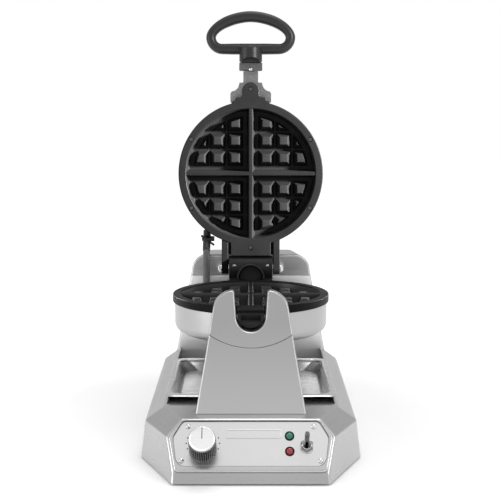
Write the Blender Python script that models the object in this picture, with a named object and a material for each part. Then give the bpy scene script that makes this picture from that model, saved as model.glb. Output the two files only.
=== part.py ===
"""Counter-top rotary waffle maker with its lid open: a hipped steel base with a sloped control panel, a
front post with a notch and a rear tower that carry the two hinged irons on a flip axis, a lift-out drip
tray, and a loop handle. Metres, +Z up, the front faces -Y."""

import math

import bmesh
import bpy
from mathutils import Vector

# ---- driving dimensions -------------------------------------------------------------------------
# The machine's own origin is under the middle of the lower iron; CENTRE_Y moves it so that the
# world origin is at the middle of the whole object's footprint.
CENTRE_Y = 0.0301
GAP = 0.0003  # left between pieces that touch
SHEET = 0.0015  # sheet metal thickness

# flip axis and hinge
AXIS_Z = 0.166
FLIP_FACE_GAP = 0.00025  # from the flip axis to each iron's face
HINGE_Y = 0.1315
HINGE_UP = 0.011
OPEN_ANGLE = math.radians(93)

# irons
FLANGE_R = 0.0995
FLANGE_THICK = 0.010
CAVITY_R = 0.089
CAVITY_FLOOR_R = 0.0865
CAVITY_DEEP = 0.018
PAN_R = 0.092
PAN_DEEP = 0.022
STUD_PITCH = 0.024
STUD_FIRST = 0.0214
STUD_FOOT = 0.0107
STUD_TOP = 0.0061
STUD_HIGH = 0.0145
STUD_FIELD_FOOT_R = 0.0800
STUD_FIELD_TOP_R = 0.0755
RIDGE_FOOT = 0.0050
RIDGE_TOP = 0.0016
RIDGE_HIGH = 0.0170
HOUSING_R = 0.097
HOUSING_DEEP = 0.048
HOUSING_CORNER_R = 0.012
ELEMENT_R = 0.055
ELEMENT_TUBE_R = 0.004
RIM_SCREW_R = 0.0030
RIM_SCREW_AT_R = 0.0943
TURN_STEPS = 56

# hinge block, shaft and arms
BLOCK_HALF_WIDTH = 0.030
BLOCK_R = 0.018
BLOCK_REAR_Y = 0.1385
SHAFT_R = 0.0193
SHAFT_BORE_R = 0.0168
ARM_INNER_X = 0.0312
ARM_OUTER_X = 0.0402
ARM_EYE_R = 0.0082
PIN_R = 0.004

# handle, measured along the lid from its centre
TAB_END = 0.124
STRIP_END = 0.140
CLAMP_END = 0.151
BOSS_END = 0.166
JOURNAL_R = 0.0158
JOURNAL_FRONT = 0.1505
LOOP_HALF_WIDTH = 0.055
LOOP_NEAR = 0.1715
LOOP_SIDE = 0.187
LOOP_FAR = 0.2158
LOOP_TUBE_R = 0.0075
BRACKET_THICK = 0.003

# base
BASE_BOTTOM = 0.0025
LIP_TOP = 0.012
WALL_TOP = 0.0458
DECK_Z = 0.0618
RECESS_FLOOR = 0.057
INNER_DECK_Z = 0.0553
PANEL_ANGLE = math.radians(51.5)
PANEL_FOOT_Y = -0.254
FOOT_R = 0.009

# post, tower and tray
POST_FRONT_FOOT_Y = -0.197
POST_LEAN = 0.41
POST_REAR_Y = -0.132
POST_FOOT_HALF = 0.062
POST_SEAM_HALF = 0.0478
SEAM_EDGE_Z = 0.1454
SEAM_MIDDLE_Z = 0.1309
NOTCH_R = 0.0172
NOTCH_Z = AXIS_Z - 0.001
POST_TOP_Z = 0.193
TOWER_FRONT_Y = 0.142
TOWER_REAR_Y = 0.190
TOWER_TOP_Z = 0.195
TOWER_SPLIT_Z = 0.165
TOWER_TAPER = 0.86
TRAY_TOP = DECK_Z + GAP + SHEET

# controls, in the panel's own plane: X across, Y up the slope from its lower edge, Z outwards
KNOB_AT = (-0.0523, 0.0275)
KNOB_R = 0.0152
KNOB_HIGH = 0.0295
PLATE_TOP = 0.0020
GREEN_LAMP_AT = (0.0422, 0.0424)
RED_LAMP_AT = (0.0422, 0.0247)
LAMP_R = 0.005
TOGGLE_AT = (0.0608, 0.0307)
TOGGLE_TILT = math.radians(16)
TOGGLE_PIVOT = -0.002
TOGGLE_LONG = 0.027
PANEL_SCREWS_AT = [(-0.069, 0.0535), (0.069, 0.0535), (-0.0755, 0.0140), (0.0755, 0.0140)]


# ---- scene helpers --------------------------------------------------------------------------------
def clear_scene():
    for leftover in list(bpy.data.objects):
        bpy.data.objects.remove(leftover, do_unlink=True)


def material(name, colour, roughness, metallic):
    made = bpy.data.materials.new(name)
    made.use_nodes = True
    shader = made.node_tree.nodes["Principled BSDF"]
    shader.inputs["Base Color"].default_value = (*colour, 1)
    shader.inputs["Roughness"].default_value = roughness
    shader.inputs["Metallic"].default_value = metallic
    return made


def empty(name, location=(0, 0, 0), rotation=(0, 0, 0), parent=None):
    made = bpy.data.objects.new(name, None)
    bpy.context.collection.objects.link(made)
    made.location = location
    made.rotation_euler = rotation
    made.parent = parent
    return made


def solid(name, shape, parent, look, location=(0, 0, 0), rotation=(0, 0, 0), smooth=False):
    """One node from a bmesh, with its faces turned outwards."""
    bmesh.ops.recalc_face_normals(shape, faces=shape.faces)
    mesh = bpy.data.meshes.new(name)
    shape.to_mesh(mesh)
    shape.free()
    made = bpy.data.objects.new(name, mesh)
    bpy.context.collection.objects.link(made)
    made.location = location
    made.rotation_euler = rotation
    made.parent = parent
    if look:
        mesh.materials.append(look)
    if smooth:
        mesh.shade_smooth()
        mesh.set_sharp_from_angle(angle=math.radians(35))
    return made


def combine(target, other, operation):
    """Adds a Boolean of another object, which is then only a helper."""
    other.hide_render = True
    other.display_type = "WIRE"
    modifier = target.modifiers.new(operation.title(), "BOOLEAN")
    modifier.operation = operation
    modifier.object = other
    modifier.solver = "EXACT"


# ---- shapes ---------------------------------------------------------------------------------------
def rings_to_solid(rings):
    """A closed skin over rings with the same number of points; the first and last are capped."""
    shape = bmesh.new()
    rows = [[shape.verts.new(point) for point in ring] for ring in rings]
    for low, high in zip(rows, rows[1:]):
        for i in range(len(low)):
            j = (i + 1) % len(low)
            shape.faces.new((low[i], low[j], high[j], high[i]))
    shape.faces.new(rows[0])
    shape.faces.new(rows[-1])
    return shape


def prism(outline, low, high, axis="Z"):
    """The outline, in the two other axes in X, Y, Z order, pushed from low to high along the axis."""
    place = {
        "X": lambda u, v, w: (w, u, v),
        "Y": lambda u, v, w: (u, w, v),
        "Z": lambda u, v, w: (u, v, w),
    }[axis]
    return rings_to_solid([[place(u, v, w) for u, v in outline] for w in (low, high)])


def turned(profile, steps=TURN_STEPS):
    """A closed profile of (radius, height) turned about Z. Points at radius 0 become poles."""
    shape = bmesh.new()
    columns = []
    for radius, height in profile:
        if radius == 0:
            columns.append([shape.verts.new((0, 0, height))] * steps)
            continue
        column = []
        for step in range(steps):
            angle = 2 * math.pi * step / steps
            column.append(shape.verts.new((radius * math.cos(angle), radius * math.sin(angle), height)))
        columns.append(column)
    for here, there in zip(columns, columns[1:] + columns[:1]):
        for i in range(steps):
            j = (i + 1) % steps
            corners = []
            for corner in (here[i], here[j], there[j], there[i]):
                if corner not in corners:
                    corners.append(corner)
            if len(corners) > 2:
                shape.faces.new(corners)
    return shape


def rod(radius, low, high, steps=24):
    return turned([(0, low), (radius, low), (radius, high), (0, high)], steps)


def ring(inner, outer, low, high, steps=32):
    return turned([(inner, low), (outer, low), (outer, high), (inner, high)], steps)


def box(low, high):
    outline = [(low[0], low[1]), (high[0], low[1]), (high[0], high[1]), (low[0], high[1])]
    return prism(outline, low[2], high[2])


def arc(centre, radius, start, end, steps, squeeze=1):
    """Points on an arc, with angles in degrees; squeeze scales it in the second direction."""
    points = []
    for step in range(steps + 1):
        angle = math.radians(start + (end - start) * step / steps)
        across, up = radius * math.cos(angle), radius * squeeze * math.sin(angle)
        points.append((centre[0] + across, centre[1] + up))
    return points


def mirrored(half):
    """A whole outline from its right half, which runs from bottom to top."""
    return half + [(-x, y) for x, y in reversed(half) if x != 0]


def inset(outline, amount):
    """The outline moved inwards by an amount along each corner's mitre. It runs anticlockwise."""
    moved = []
    for i, point in enumerate(outline):
        before = Vector(point) - Vector(outline[i - 1])
        after = Vector(outline[(i + 1) % len(outline)]) - Vector(point)
        normals = [Vector((-side.y, side.x)).normalized() for side in (before, after)]
        middle = (normals[0] + normals[1]).normalized()
        reach = amount / max(middle.dot(normals[0]), 0.5)
        moved.append((point[0] + middle.x * reach, point[1] + middle.y * reach))
    return moved


def tube(path, radius, side_axis, sides=12, closed=False):
    """A round tube along a flat path, whose plane is square to side_axis."""
    across = Vector(side_axis)
    rings = []
    count = len(path)
    for i, point in enumerate(path):
        before = Vector(path[i - 1] if i or closed else path[0])
        after = Vector(path[(i + 1) % count] if i + 1 < count or closed else path[-1])
        other = (after - before).normalized().cross(across)
        angles = [2 * math.pi * side / sides for side in range(sides)]
        rings.append([Vector(point) + (across * math.cos(a) + other * math.sin(a)) * radius for a in angles])
    if not closed:
        return rings_to_solid(rings)
    shape = bmesh.new()
    rows = [[shape.verts.new(point) for point in one] for one in rings]
    for i, row in enumerate(rows):
        following = rows[(i + 1) % count]
        for k in range(sides):
            m = (k + 1) % sides
            shape.faces.new((row[k], row[m], following[m], following[k]))
    return shape


def turned_along(axis):
    """The rotation that points a turned shape's Z along another axis."""
    return {"X": (0, math.pi / 2, 0), "Y": (-math.pi / 2, 0, 0)}[axis]


# ---- base -----------------------------------------------------------------------------------------
def panel_y(z):
    return PANEL_FOOT_Y + (z - LIP_TOP) / math.tan(PANEL_ANGLE)


def base_hull(grow, bottom, deck):
    """The hipped body: upright walls, a sloped panel, slopes up to a flat deck. grow moves it outwards."""

    def hip(foot, top):
        part = (deck - WALL_TOP) / (DECK_Z - WALL_TOP)
        return [a + (b - a) * part for a, b in zip(foot, top)]

    half = {
        "front_low": (0.085, -0.256, bottom),
        "front_lip": (0.084, PANEL_FOOT_Y, LIP_TOP),
        "panel_side": (0.0926, panel_y(WALL_TOP), WALL_TOP),
        "panel_top": (*hip((0.0926, panel_y(WALL_TOP)), (0.0764, panel_y(DECK_Z))), deck),
        "side_low": (0.1268, -0.163, bottom),
        "side_wall": (0.1216, -0.164, WALL_TOP),
        "side_deck": (*hip((0.1216, -0.164), (0.0993, -0.164)), deck),
        "rear_side_low": (0.1268, 0.142, bottom),
        "rear_side_wall": (0.1216, 0.142, WALL_TOP),
        "rear_side_deck": (*hip((0.1216, 0.142), (0.0993, 0.142)), deck),
        "rear_low": (0.099, 0.200, bottom),
        "rear_wall": (0.096, 0.196, WALL_TOP),
        "rear_deck": (*hip((0.096, 0.196), (0.084, 0.184)), deck),
    }
    shape = bmesh.new()
    corners = {}
    for name, (x, y, z) in half.items():
        for side in (1, -1):
            forward = -grow if y < -0.2 else 0
            backward = grow if y > 0.18 else 0
            place = ((x + grow) * side, y + forward * 1.3 + backward, z)
            corners[name, side] = shape.verts.new(place)
    columns = [
        ("front_low", "front_lip", "panel_side", "panel_top"),
        ("side_low", "side_wall", "side_deck"),
        ("rear_side_low", "rear_side_wall", "rear_side_deck"),
        ("rear_low", "rear_wall", "rear_deck"),
    ]

    def face(*names):
        shape.faces.new([corners[name] for name in names])

    for side in (1, -1):
        face(*[(n, side) for n in ("front_low", "side_low", "side_wall", "panel_side", "front_lip")])
        face(*[(n, side) for n in ("panel_side", "side_wall", "side_deck", "panel_top")])
        for here, there in zip(columns[1:], columns[2:]):
            for k in (0, 1):
                face((here[k], side), (there[k], side), (there[k + 1], side), (here[k + 1], side))
    for column in (columns[0], columns[3]):
        for low, high in zip(column, column[1:]):
            face((low, 1), (high, 1), (high, -1), (low, -1))
    for row in (0, -1):
        names = [column[row] for column in columns]
        face(*[(n, 1) for n in names], *[(n, -1) for n in reversed(names)])
    bmesh.ops.triangulate(shape, faces=shape.faces)
    return shape


def base_shell(parent, panel, look):
    shell = solid("base_shell", base_hull(0, BASE_BOTTOM, DECK_Z), parent, look)
    hollow = solid("base_hollow", base_hull(-SHEET, BASE_BOTTOM - 0.01, INNER_DECK_Z), parent, None)
    recess = solid("deck_recess", box((-0.097, -0.160, RECESS_FLOOR), (0.097, 0.125, 0.08)), parent, None)
    opening = solid("tray_opening", box((-0.0945, -0.116, 0.04), (0.0945, 0.060, 0.07)), parent, None)
    window = solid("control_window", box((-0.070, 0.011, -0.020), (0.070, 0.053, 0.01)), panel, None)
    cord_hole = solid("cord_hole", rod(0.0055, -0.02, 0.02), parent, None, (-0.060, 0.198, 0.025),
                      turned_along("Y"))
    for cutter in (hollow, recess, opening, window, cord_hole):
        combine(shell, cutter, "DIFFERENCE")


def base_floor(parent, look):
    half = [(0, -0.252), (0.0826, -0.252), (0.1225, -0.1625), (0.1225, 0.1395), (0.096, 0.194), (0, 0.194)]
    low = BASE_BOTTOM + 0.0015
    solid("base_bottom_plate", prism(inset(mirrored(half), 0.0005), low, low + SHEET), parent, look)


def feet(parent, look):
    places = {"front_left": (-0.085, -0.200), "front_right": (0.085, -0.200),
              "rear_left": (-0.090, 0.150), "rear_right": (0.090, 0.150)}
    for name, (x, y) in places.items():
        shape = turned([(0, 0), (FOOT_R - 0.001, 0), (FOOT_R, 0.001), (FOOT_R, 0.0037), (0, 0.0037)], 24)
        solid(f"foot_{name}", shape, parent, look, (x, y, 0), smooth=True)


def cord_gland(parent, look):
    profile = [(0.0036, -0.006), (0.0052, -0.006), (0.0052, 0.0006), (0.009, 0.0006), (0.009, 0.003),
               (0.0065, 0.0045), (0.0050, 0.012), (0.0036, 0.012)]
    solid("cord_gland", turned(profile, 24), parent, look, (-0.060, 0.1990, 0.025), turned_along("Y"), True)


# ---- front post -----------------------------------------------------------------------------------
def post_front(z):
    return POST_FRONT_FOOT_Y + (z - DECK_Z) * POST_LEAN


def leaning_block(outline, front_in=0.0, rear_in=0.0):
    """An outline in X and Z, with its front on the post's leaning face and its rear upright."""
    front = [(x, post_front(z) + front_in, z) for x, z in outline]
    rear = [(x, POST_REAR_Y - rear_in, z) for x, z in outline]
    return rings_to_solid([front, rear])


def seam(offset, steps=12):
    """The curved seam under the post's cap, from right to left, moved up by an offset."""
    sag = SEAM_EDGE_Z - SEAM_MIDDLE_Z
    radius = (POST_SEAM_HALF**2 + sag**2) / (2 * sag)
    half_angle = math.degrees(math.asin(POST_SEAM_HALF / radius))
    centre = (0, SEAM_MIDDLE_Z + radius + offset)
    return list(reversed(arc(centre, radius, 270 - half_angle, 270 + half_angle, steps)))


def front_post(parent, look):
    foot = DECK_Z + GAP
    outline = [(-POST_FOOT_HALF, foot), (POST_FOOT_HALF, foot), *seam(-GAP)]
    post = solid("front_post", leaning_block(outline), parent, look)
    inner_top = SEAM_MIDDLE_Z - 0.003
    hollow = [(-0.060, foot - 0.01), (0.060, foot - 0.01), (0.048, inner_top), (-0.048, inner_top)]
    cutter = solid("post_hollow", leaning_block(hollow, 2 * SHEET, SHEET), parent, None)
    combine(post, cutter, "DIFFERENCE")


def cap_upper_outline():
    """From the seam's right end up over the right shoulder, down through the notch and over to the left."""
    half = [(0.0434, 0.174), (0.0418, 0.1795), (0.0388, 0.1838), (0.0350, 0.1872), (0.0305, 0.1903),
            (0.0262, 0.1922), (0.0215, POST_TOP_Z)]
    left = [(-x, z) for x, z in reversed(half)]
    notch_side = (0.0195, POST_TOP_Z - 0.0015)
    notch = [notch_side, *arc((0, NOTCH_Z), NOTCH_R, 0, -180, 12), (-notch_side[0], notch_side[1])]
    return half + notch + left


def front_post_cap(parent, look):
    lower = list(reversed(seam(GAP)))
    outline = lower + cap_upper_outline()
    cap = solid("front_post_cap", leaning_block(outline), parent, look)
    inner = inset(outline, SHEET)
    count = len(lower)
    hollow = [(x * 0.97, z - 0.012) for x, z in inner[:count]] + inner[count:]
    cutter = solid("cap_hollow", leaning_block(hollow, 2 * SHEET, SHEET), parent, None)
    combine(cap, cutter, "DIFFERENCE")


# ---- rear tower -----------------------------------------------------------------------------------
def tower_side(z):
    """Half width of the tower's straight side at a height."""
    return 0.1076 - (z - 0.0469) * 0.192


def tower_outline(low, high):
    """The tower's right half between two heights, from bottom to top."""
    half = [(tower_side(low), low)]
    if high < TOWER_TOP_Z:
        return mirrored(half + [(tower_side(high), high)])
    shoulder_z = TOWER_TOP_Z - 0.023
    corner = arc((tower_side(shoulder_z) - 0.022, shoulder_z), 0.022, 0, 90, 6, 0.023 / 0.022)
    return mirrored(half + corner)


def tapered_block(outline, front, rear):
    """An outline in X and Z pushed from front to rear, narrowing with the tower's taper."""

    def ring_at(y):
        share = (y - TOWER_FRONT_Y) / (TOWER_REAR_Y - TOWER_FRONT_Y)
        width = 1 - (1 - TOWER_TAPER) * share
        return [(x * width, y, z) for x, z in outline]

    return rings_to_solid([ring_at(front), ring_at(rear)])


def rear_tower(parent, look):
    split = TOWER_SPLIT_Z
    lower = solid("rear_tower", tapered_block(tower_outline(0.046, split), TOWER_FRONT_Y, TOWER_REAR_Y),
                  parent, look)
    upper = solid("tower_cap",
                  tapered_block(tower_outline(split + GAP, TOWER_TOP_Z), TOWER_FRONT_Y, TOWER_REAR_Y),
                  parent, look)
    base = solid("tower_seat", base_hull(GAP, 0, DECK_Z + GAP), parent, None)
    combine(lower, base, "DIFFERENCE")
    inside = inset(tower_outline(0.0625, TOWER_TOP_Z), SHEET)
    hollow = solid("tower_hollow", tapered_block(inside, TOWER_FRONT_Y + SHEET, TOWER_REAR_Y + 0.01),
                   parent, None)
    bearing = solid("bearing_hole", rod(0.0233, -0.01, 0.01, 32), parent, None,
                    (0, TOWER_FRONT_Y, AXIS_Z), turned_along("Y"))
    for piece in (lower, upper):
        combine(piece, hollow, "DIFFERENCE")
        combine(piece, bearing, "DIFFERENCE")


def tower_rear_cover(parent, look):
    outline = [(x * TOWER_TAPER, z) for x, z in tower_outline(0.0625, TOWER_TOP_Z)]
    low = TOWER_REAR_Y + GAP
    solid("tower_rear_cover", prism(outline, low, low + SHEET, "Y"), parent, look)


def pivot_bush(parent, look):
    shape = ring(SHAFT_R + GAP, 0.023, -0.0015, 0.010)
    solid("pivot_bush", shape, parent, look, (0, TOWER_FRONT_Y, AXIS_Z), turned_along("Y"), True)


# ---- drip tray ------------------------------------------------------------------------------------
def tray_ring(half_width, front, rear, corner, z):
    """A rectangle with cut corners."""
    right = [(half_width - corner, front), (half_width, front + corner),
             (half_width, rear - corner), (half_width - corner, rear)]
    return [(x, y, z) for x, y in right] + [(-x, y, z) for x, y in reversed(right)]


def drip_tray(parent, look):
    under = DECK_Z + GAP
    floor = 0.0505
    rings = [
        tray_ring(0.0880, -0.1050, 0.0470, 0.012, floor),
        tray_ring(0.0938, -0.1140, 0.0560, 0.012, under),
        tray_ring(0.1020, -0.1260, 0.0670, 0.004, under),
        tray_ring(0.1020, -0.1260, 0.0670, 0.004, TRAY_TOP),
        tray_ring(0.0924, -0.1125, 0.0545, 0.012, TRAY_TOP),
        tray_ring(0.0866, -0.1036, 0.0456, 0.012, floor + SHEET),
    ]
    solid("drip_tray", rings_to_solid(rings), parent, look)


# ---- control panel --------------------------------------------------------------------------------
def panel_outline():
    return mirrored([(0.0755, 0.0080), (0.0815, 0.0145), (0.0850, 0.0405), (0.0745, 0.0590)])


def control_panel(panel, frame_look, plate_look, screw_look):
    outer = mirrored([(0.0825, 0.0012), (0.0905, 0.0425), (0.0750, 0.0622)])
    frame = solid("control_panel_frame", prism(outer, GAP, 0.0034), panel, frame_look)
    hole = solid("panel_frame_hole", prism(inset(panel_outline(), -0.0005), -0.01, 0.01), panel, None)
    combine(frame, hole, "DIFFERENCE")
    plate = solid("control_panel_plate", prism(panel_outline(), PLATE_TOP - SHEET, PLATE_TOP), panel,
                  plate_look)
    holes = [(place, 0.0019) for place in PANEL_SCREWS_AT]
    holes += [(KNOB_AT, 0.0036), (GREEN_LAMP_AT, 0.0045), (RED_LAMP_AT, 0.0045), (TOGGLE_AT, 0.0062)]
    for number, ((x, y), radius) in enumerate(holes):
        cutter = solid(f"panel_hole_{number}", rod(radius, -0.01, 0.01, 16), panel, None, (x, y, 0))
        combine(plate, cutter, "DIFFERENCE")
    low = PLATE_TOP + GAP
    profile = [(0, GAP), (0.0015, GAP), (0.0015, low), (0.0034, low), (0.0032, low + 0.0010),
               (0.0020, low + 0.0019), (0, low + 0.0022)]
    for number, (x, y) in enumerate(PANEL_SCREWS_AT, 1):
        solid(f"panel_screw_{number}", turned(profile, 16), panel, screw_look, (x, y, 0), smooth=True)


def thermostat(panel, knob_joint, body_look, knob_look, face_look):
    x, y = KNOB_AT
    body = [(0, -0.024), (0.014, -0.024), (0.014, -0.003), (0.003, -0.003), (0.003, 0.018), (0, 0.018)]
    solid("thermostat_body", turned(body, 24), panel, body_look, (x, y, 0), smooth=True)
    low = PLATE_TOP + GAP
    ribs = 26
    outline = []
    for step in range(2 * ribs):
        angle = math.pi * step / ribs
        radius = KNOB_R if step % 2 else KNOB_R - 0.0008
        outline.append((radius * math.cos(angle), radius * math.sin(angle)))
    knob = solid("thermostat_knob", prism(outline, low, low + KNOB_HIGH), knob_joint, knob_look)
    bore = solid("knob_bore", rod(0.0033, -0.01, 0.0185, 16), knob_joint, None)
    seat = solid("knob_seat", rod(0.0137, low + KNOB_HIGH - 0.0012, low + KNOB_HIGH + 0.01, 32),
                 knob_joint, None)
    combine(knob, bore, "DIFFERENCE")
    combine(knob, seat, "DIFFERENCE")
    solid("knob_face", rod(0.0134, low + KNOB_HIGH - 0.0009, low + KNOB_HIGH + 0.0002, 40), knob_joint,
          face_look, smooth=True)


def lamps(panel, green, red):
    low = PLATE_TOP + GAP
    profile = [(0, -0.010), (0.0042, -0.010), (0.0042, low), (LAMP_R, low), (LAMP_R, low + 0.0010),
               *[(r, z) for r, z in arc((0, low + 0.0010), LAMP_R * 0.94, 20, 70, 3, 0.5)],
               (0, low + 0.0010 + LAMP_R * 0.47)]
    for name, place, look in (("green_lamp", GREEN_LAMP_AT, green), ("red_lamp", RED_LAMP_AT, red)):
        solid(name, turned(profile, 24), panel, look, (*place, 0), smooth=True)


def toggle_switch(panel, lever_joint, body_look, metal_look):
    body = [(0, -0.022), (0.008, -0.022), (0.008, -0.004), (0.0058, -0.004), (0.0058, 0.0064),
            (0.0046, 0.0064), (0.0046, -0.0055), (0, -0.0055)]
    solid("toggle_switch_body", turned(body, 24), panel, body_look, (*TOGGLE_AT, 0), smooth=True)
    low = PLATE_TOP + GAP
    nut = [(0.0061, low), (0.0078, low), (0.0074, low + 0.0018), (0.0064, low + 0.0034),
           (0.0061, low + 0.0034)]
    solid("toggle_nut", turned(nut, 24), panel, metal_look, (*TOGGLE_AT, 0), smooth=True)
    tip_r = 0.0025
    lever = [(0, -0.0018), (0.0013, -0.0014), (0.0018, 0), (0.0018, 0.010),
             (tip_r, TOGGLE_LONG - 0.005), *arc((0, TOGGLE_LONG - tip_r), tip_r, 0, 60, 2), (0, TOGGLE_LONG)]
    solid("toggle_lever", turned(lever, 16), lever_joint, metal_look, smooth=True)


# ---- irons ----------------------------------------------------------------------------------------
def frustum(shape, x, y, foot, top, low, high):
    corners = ((1, 1), (-1, 1), (-1, -1), (1, -1))
    base = [shape.verts.new((x + foot[0] * i, y + foot[1] * j, low)) for i, j in corners]
    cap = [shape.verts.new((x + top[0] * i, y + top[1] * j, high)) for i, j in corners]
    for i in range(4):
        j = (i + 1) % 4
        shape.faces.new((base[i], base[j], cap[j], cap[i]))
    shape.faces.new(list(reversed(base)))
    shape.faces.new(cap)


def stud_grid():
    """The waffle pattern's studs, quarter by quarter, standing in the cavity's floor."""
    low = -CAVITY_DEEP - 0.001
    high = -CAVITY_DEEP + STUD_HIGH
    shape = bmesh.new()
    places = [STUD_FIRST + STUD_PITCH * k for k in range(3)]
    for x in places:
        for y in places:
            if math.hypot(x, y) > STUD_FIELD_FOOT_R + 0.008:
                continue
            for i, j in ((1, 1), (-1, 1), (-1, -1), (1, -1)):
                frustum(shape, x * i, y * j, (STUD_FOOT, STUD_FOOT), (STUD_TOP, STUD_TOP), low, high)
    return shape


def waffle_plate(name, parent, look):
    """A cast plate whose face is up: a flange and a dished cavity with a cross of two ridges and studs
    that are cut off round the edge of their field."""
    face = -FLIP_FACE_GAP
    floor = -CAVITY_DEEP
    profile = [(0, -PAN_DEEP), (PAN_R, -PAN_DEEP), (PAN_R, -FLANGE_THICK), (FLANGE_R, -FLANGE_THICK),
               (FLANGE_R, face), (CAVITY_R, face), (CAVITY_FLOOR_R, floor), (0, floor)]
    plate = solid(name, turned(profile), parent, look)
    studs = solid(f"{name}_studs", stud_grid(), parent, None)
    low = floor - 0.005
    bound = [(0, low), (STUD_FIELD_FOOT_R + 0.0015, low), (STUD_FIELD_TOP_R, floor + STUD_HIGH + 0.001),
             (0, floor + STUD_HIGH + 0.001)]
    bound = solid(f"{name}_bound", turned(bound), parent, None)
    combine(studs, bound, "INTERSECT")
    combine(plate, studs, "UNION")
    for number, turn in enumerate((0, math.pi / 2)):
        bar = bmesh.new()
        frustum(bar, 0, 0, (CAVITY_R - 0.0008, RIDGE_FOOT), (CAVITY_R - 0.0008, RIDGE_TOP),
                floor - 0.001, floor + RIDGE_HIGH)
        ridge = solid(f"{name}_ridge_{number}", bar, parent, None, rotation=(0, 0, turn))
        combine(plate, ridge, "UNION")
    return plate


def iron_housing(name, parent, look):
    corner_z = -HOUSING_DEEP + HOUSING_CORNER_R
    top = -FLANGE_THICK - GAP
    outer = arc((HOUSING_R - HOUSING_CORNER_R, corner_z), HOUSING_CORNER_R, -90, 0, 4)
    inner = arc((HOUSING_R - HOUSING_CORNER_R, corner_z), HOUSING_CORNER_R - SHEET, 0, -90, 4)
    profile = [(0, -HOUSING_DEEP), *outer, (HOUSING_R, top), (HOUSING_R - SHEET, top), *inner,
               (0, -HOUSING_DEEP + SHEET)]
    solid(name, turned(profile), parent, look, smooth=True)


def heating_element(name, parent, look):
    path = [(*point, 0) for point in arc((0, 0), ELEMENT_R, 0, 348.75, 31)]
    shape = tube(path, ELEMENT_TUBE_R, (0, 0, 1), 6, closed=True)
    solid(name, shape, parent, look, (0, 0, -PAN_DEEP - GAP - ELEMENT_TUBE_R), smooth=True)


def upper_plate(parent, look, screw_look):
    """The upper iron's plate, in the closed machine turned upside down, so its face is up here too."""
    plate = waffle_plate("upper_plate", parent, look)
    face = -FLIP_FACE_GAP
    back = -FLANGE_THICK
    tab_half = [(0.0208, 0.090), (0.0208, 0.1015), (0.0190, 0.1035), (0.0125, 0.1045), (0.0105, 0.1070),
                *arc((0, TAB_END - 0.0102), 0.0102, 5, 85, 4), (0, TAB_END)]
    rear_half = [(0.028, -0.088), (0.028, -0.1125), (0, -0.1125)]
    front = solid("front_tab", prism(mirrored(tab_half), back, face), parent, None)
    rear = solid("rear_tab", prism(mirrored(rear_half), back, face), parent, None)
    combine(plate, front, "UNION")
    combine(plate, rear, "UNION")
    eye = arc((-HINGE_Y, -HINGE_UP), ARM_EYE_R, 80, 270, 8)
    arm_outline = [(-0.088, -0.001), (-0.120, -0.001), *eye, (-0.112, -0.0175), (-0.100, -0.0098),
                   (-0.088, -0.0098)]
    pin_hole = solid("arm_pin_hole", rod(PIN_R + GAP, -0.06, 0.06, 16), parent, None,
                     (0, -HINGE_Y, -HINGE_UP), turned_along("X"))
    for side, (low, high) in (("left", (-ARM_OUTER_X, -ARM_INNER_X)), ("right", (ARM_INNER_X, ARM_OUTER_X))):
        arm = solid(f"arm_{side}", prism(arm_outline, low, high, "X"), parent, None)
        combine(plate, arm, "UNION")
    combine(plate, pin_hole, "DIFFERENCE")
    places = {"rim_screw_tab": (0, TAB_END - 0.0085), "rim_screw_hinge": (0, -0.1025)}
    for number, degrees in enumerate((30, 150, 210, 330), 1):
        angle = math.radians(degrees)
        places[f"rim_screw_{number}"] = (RIM_SCREW_AT_R * math.cos(angle), RIM_SCREW_AT_R * math.sin(angle))
    for name, (x, y) in places.items():
        well = solid(f"{name}_well", rod(RIM_SCREW_R + GAP, -0.003, 0.01, 12), parent, None, (x, y, 0))
        combine(plate, well, "DIFFERENCE")
        head = [(0, -0.0027), (RIM_SCREW_R, -0.0027), (RIM_SCREW_R, -0.0008), (RIM_SCREW_R * 0.6, face),
                (0, face)]
        solid(name, turned(head, 12), parent, screw_look, (x, y, 0), smooth=True)


def hinge_block(parent, look):
    angle = math.degrees(math.asin(-(HINGE_UP + 0.0008) / BLOCK_R)) % 360
    barrel = arc((HINGE_Y, HINGE_UP), BLOCK_R, 540 - angle, 90, 10)
    outline = [(0.101, -0.026), (0.101, -0.0008), *barrel, (BLOCK_REAR_Y, HINGE_UP + BLOCK_R),
               (BLOCK_REAR_Y, -0.026)]
    block = solid("hinge_block", prism(outline, -BLOCK_HALF_WIDTH, BLOCK_HALF_WIDTH, "X"), parent, look)
    tunnel = solid("shaft_tunnel", rod(SHAFT_R + GAP, 0.05, 0.2, 40), parent, None,
                   rotation=turned_along("Y"))
    pins = solid("block_pin_hole", rod(PIN_R + GAP, -0.06, 0.06, 16), parent, None,
                 (0, HINGE_Y, HINGE_UP), turned_along("X"))
    combine(block, tunnel, "DIFFERENCE")
    combine(block, pins, "DIFFERENCE")


def pivot_shaft(parent, shaft_look, collar_look):
    """The hollow rear shaft that the wires run through, and the collar that keeps it in the tower."""
    along = turned_along("Y")
    solid("pivot_shaft", ring(SHAFT_BORE_R, SHAFT_R, 0.1185, 0.172, 40), parent, shaft_look,
          rotation=along, smooth=True)
    solid("shaft_collar", ring(SHAFT_R + GAP, 0.025, 0.156, 0.162, 40), parent, collar_look,
          rotation=along, smooth=True)


def front_journal(parent, look):
    """The half-round bar that rests in the post's notch under the handle's clamp."""
    outline = arc((0, -GAP), JOURNAL_R, 180, 360, 14)
    solid("front_journal", prism(outline, -JOURNAL_FRONT, -0.1005, "Y"), parent, look)


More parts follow.
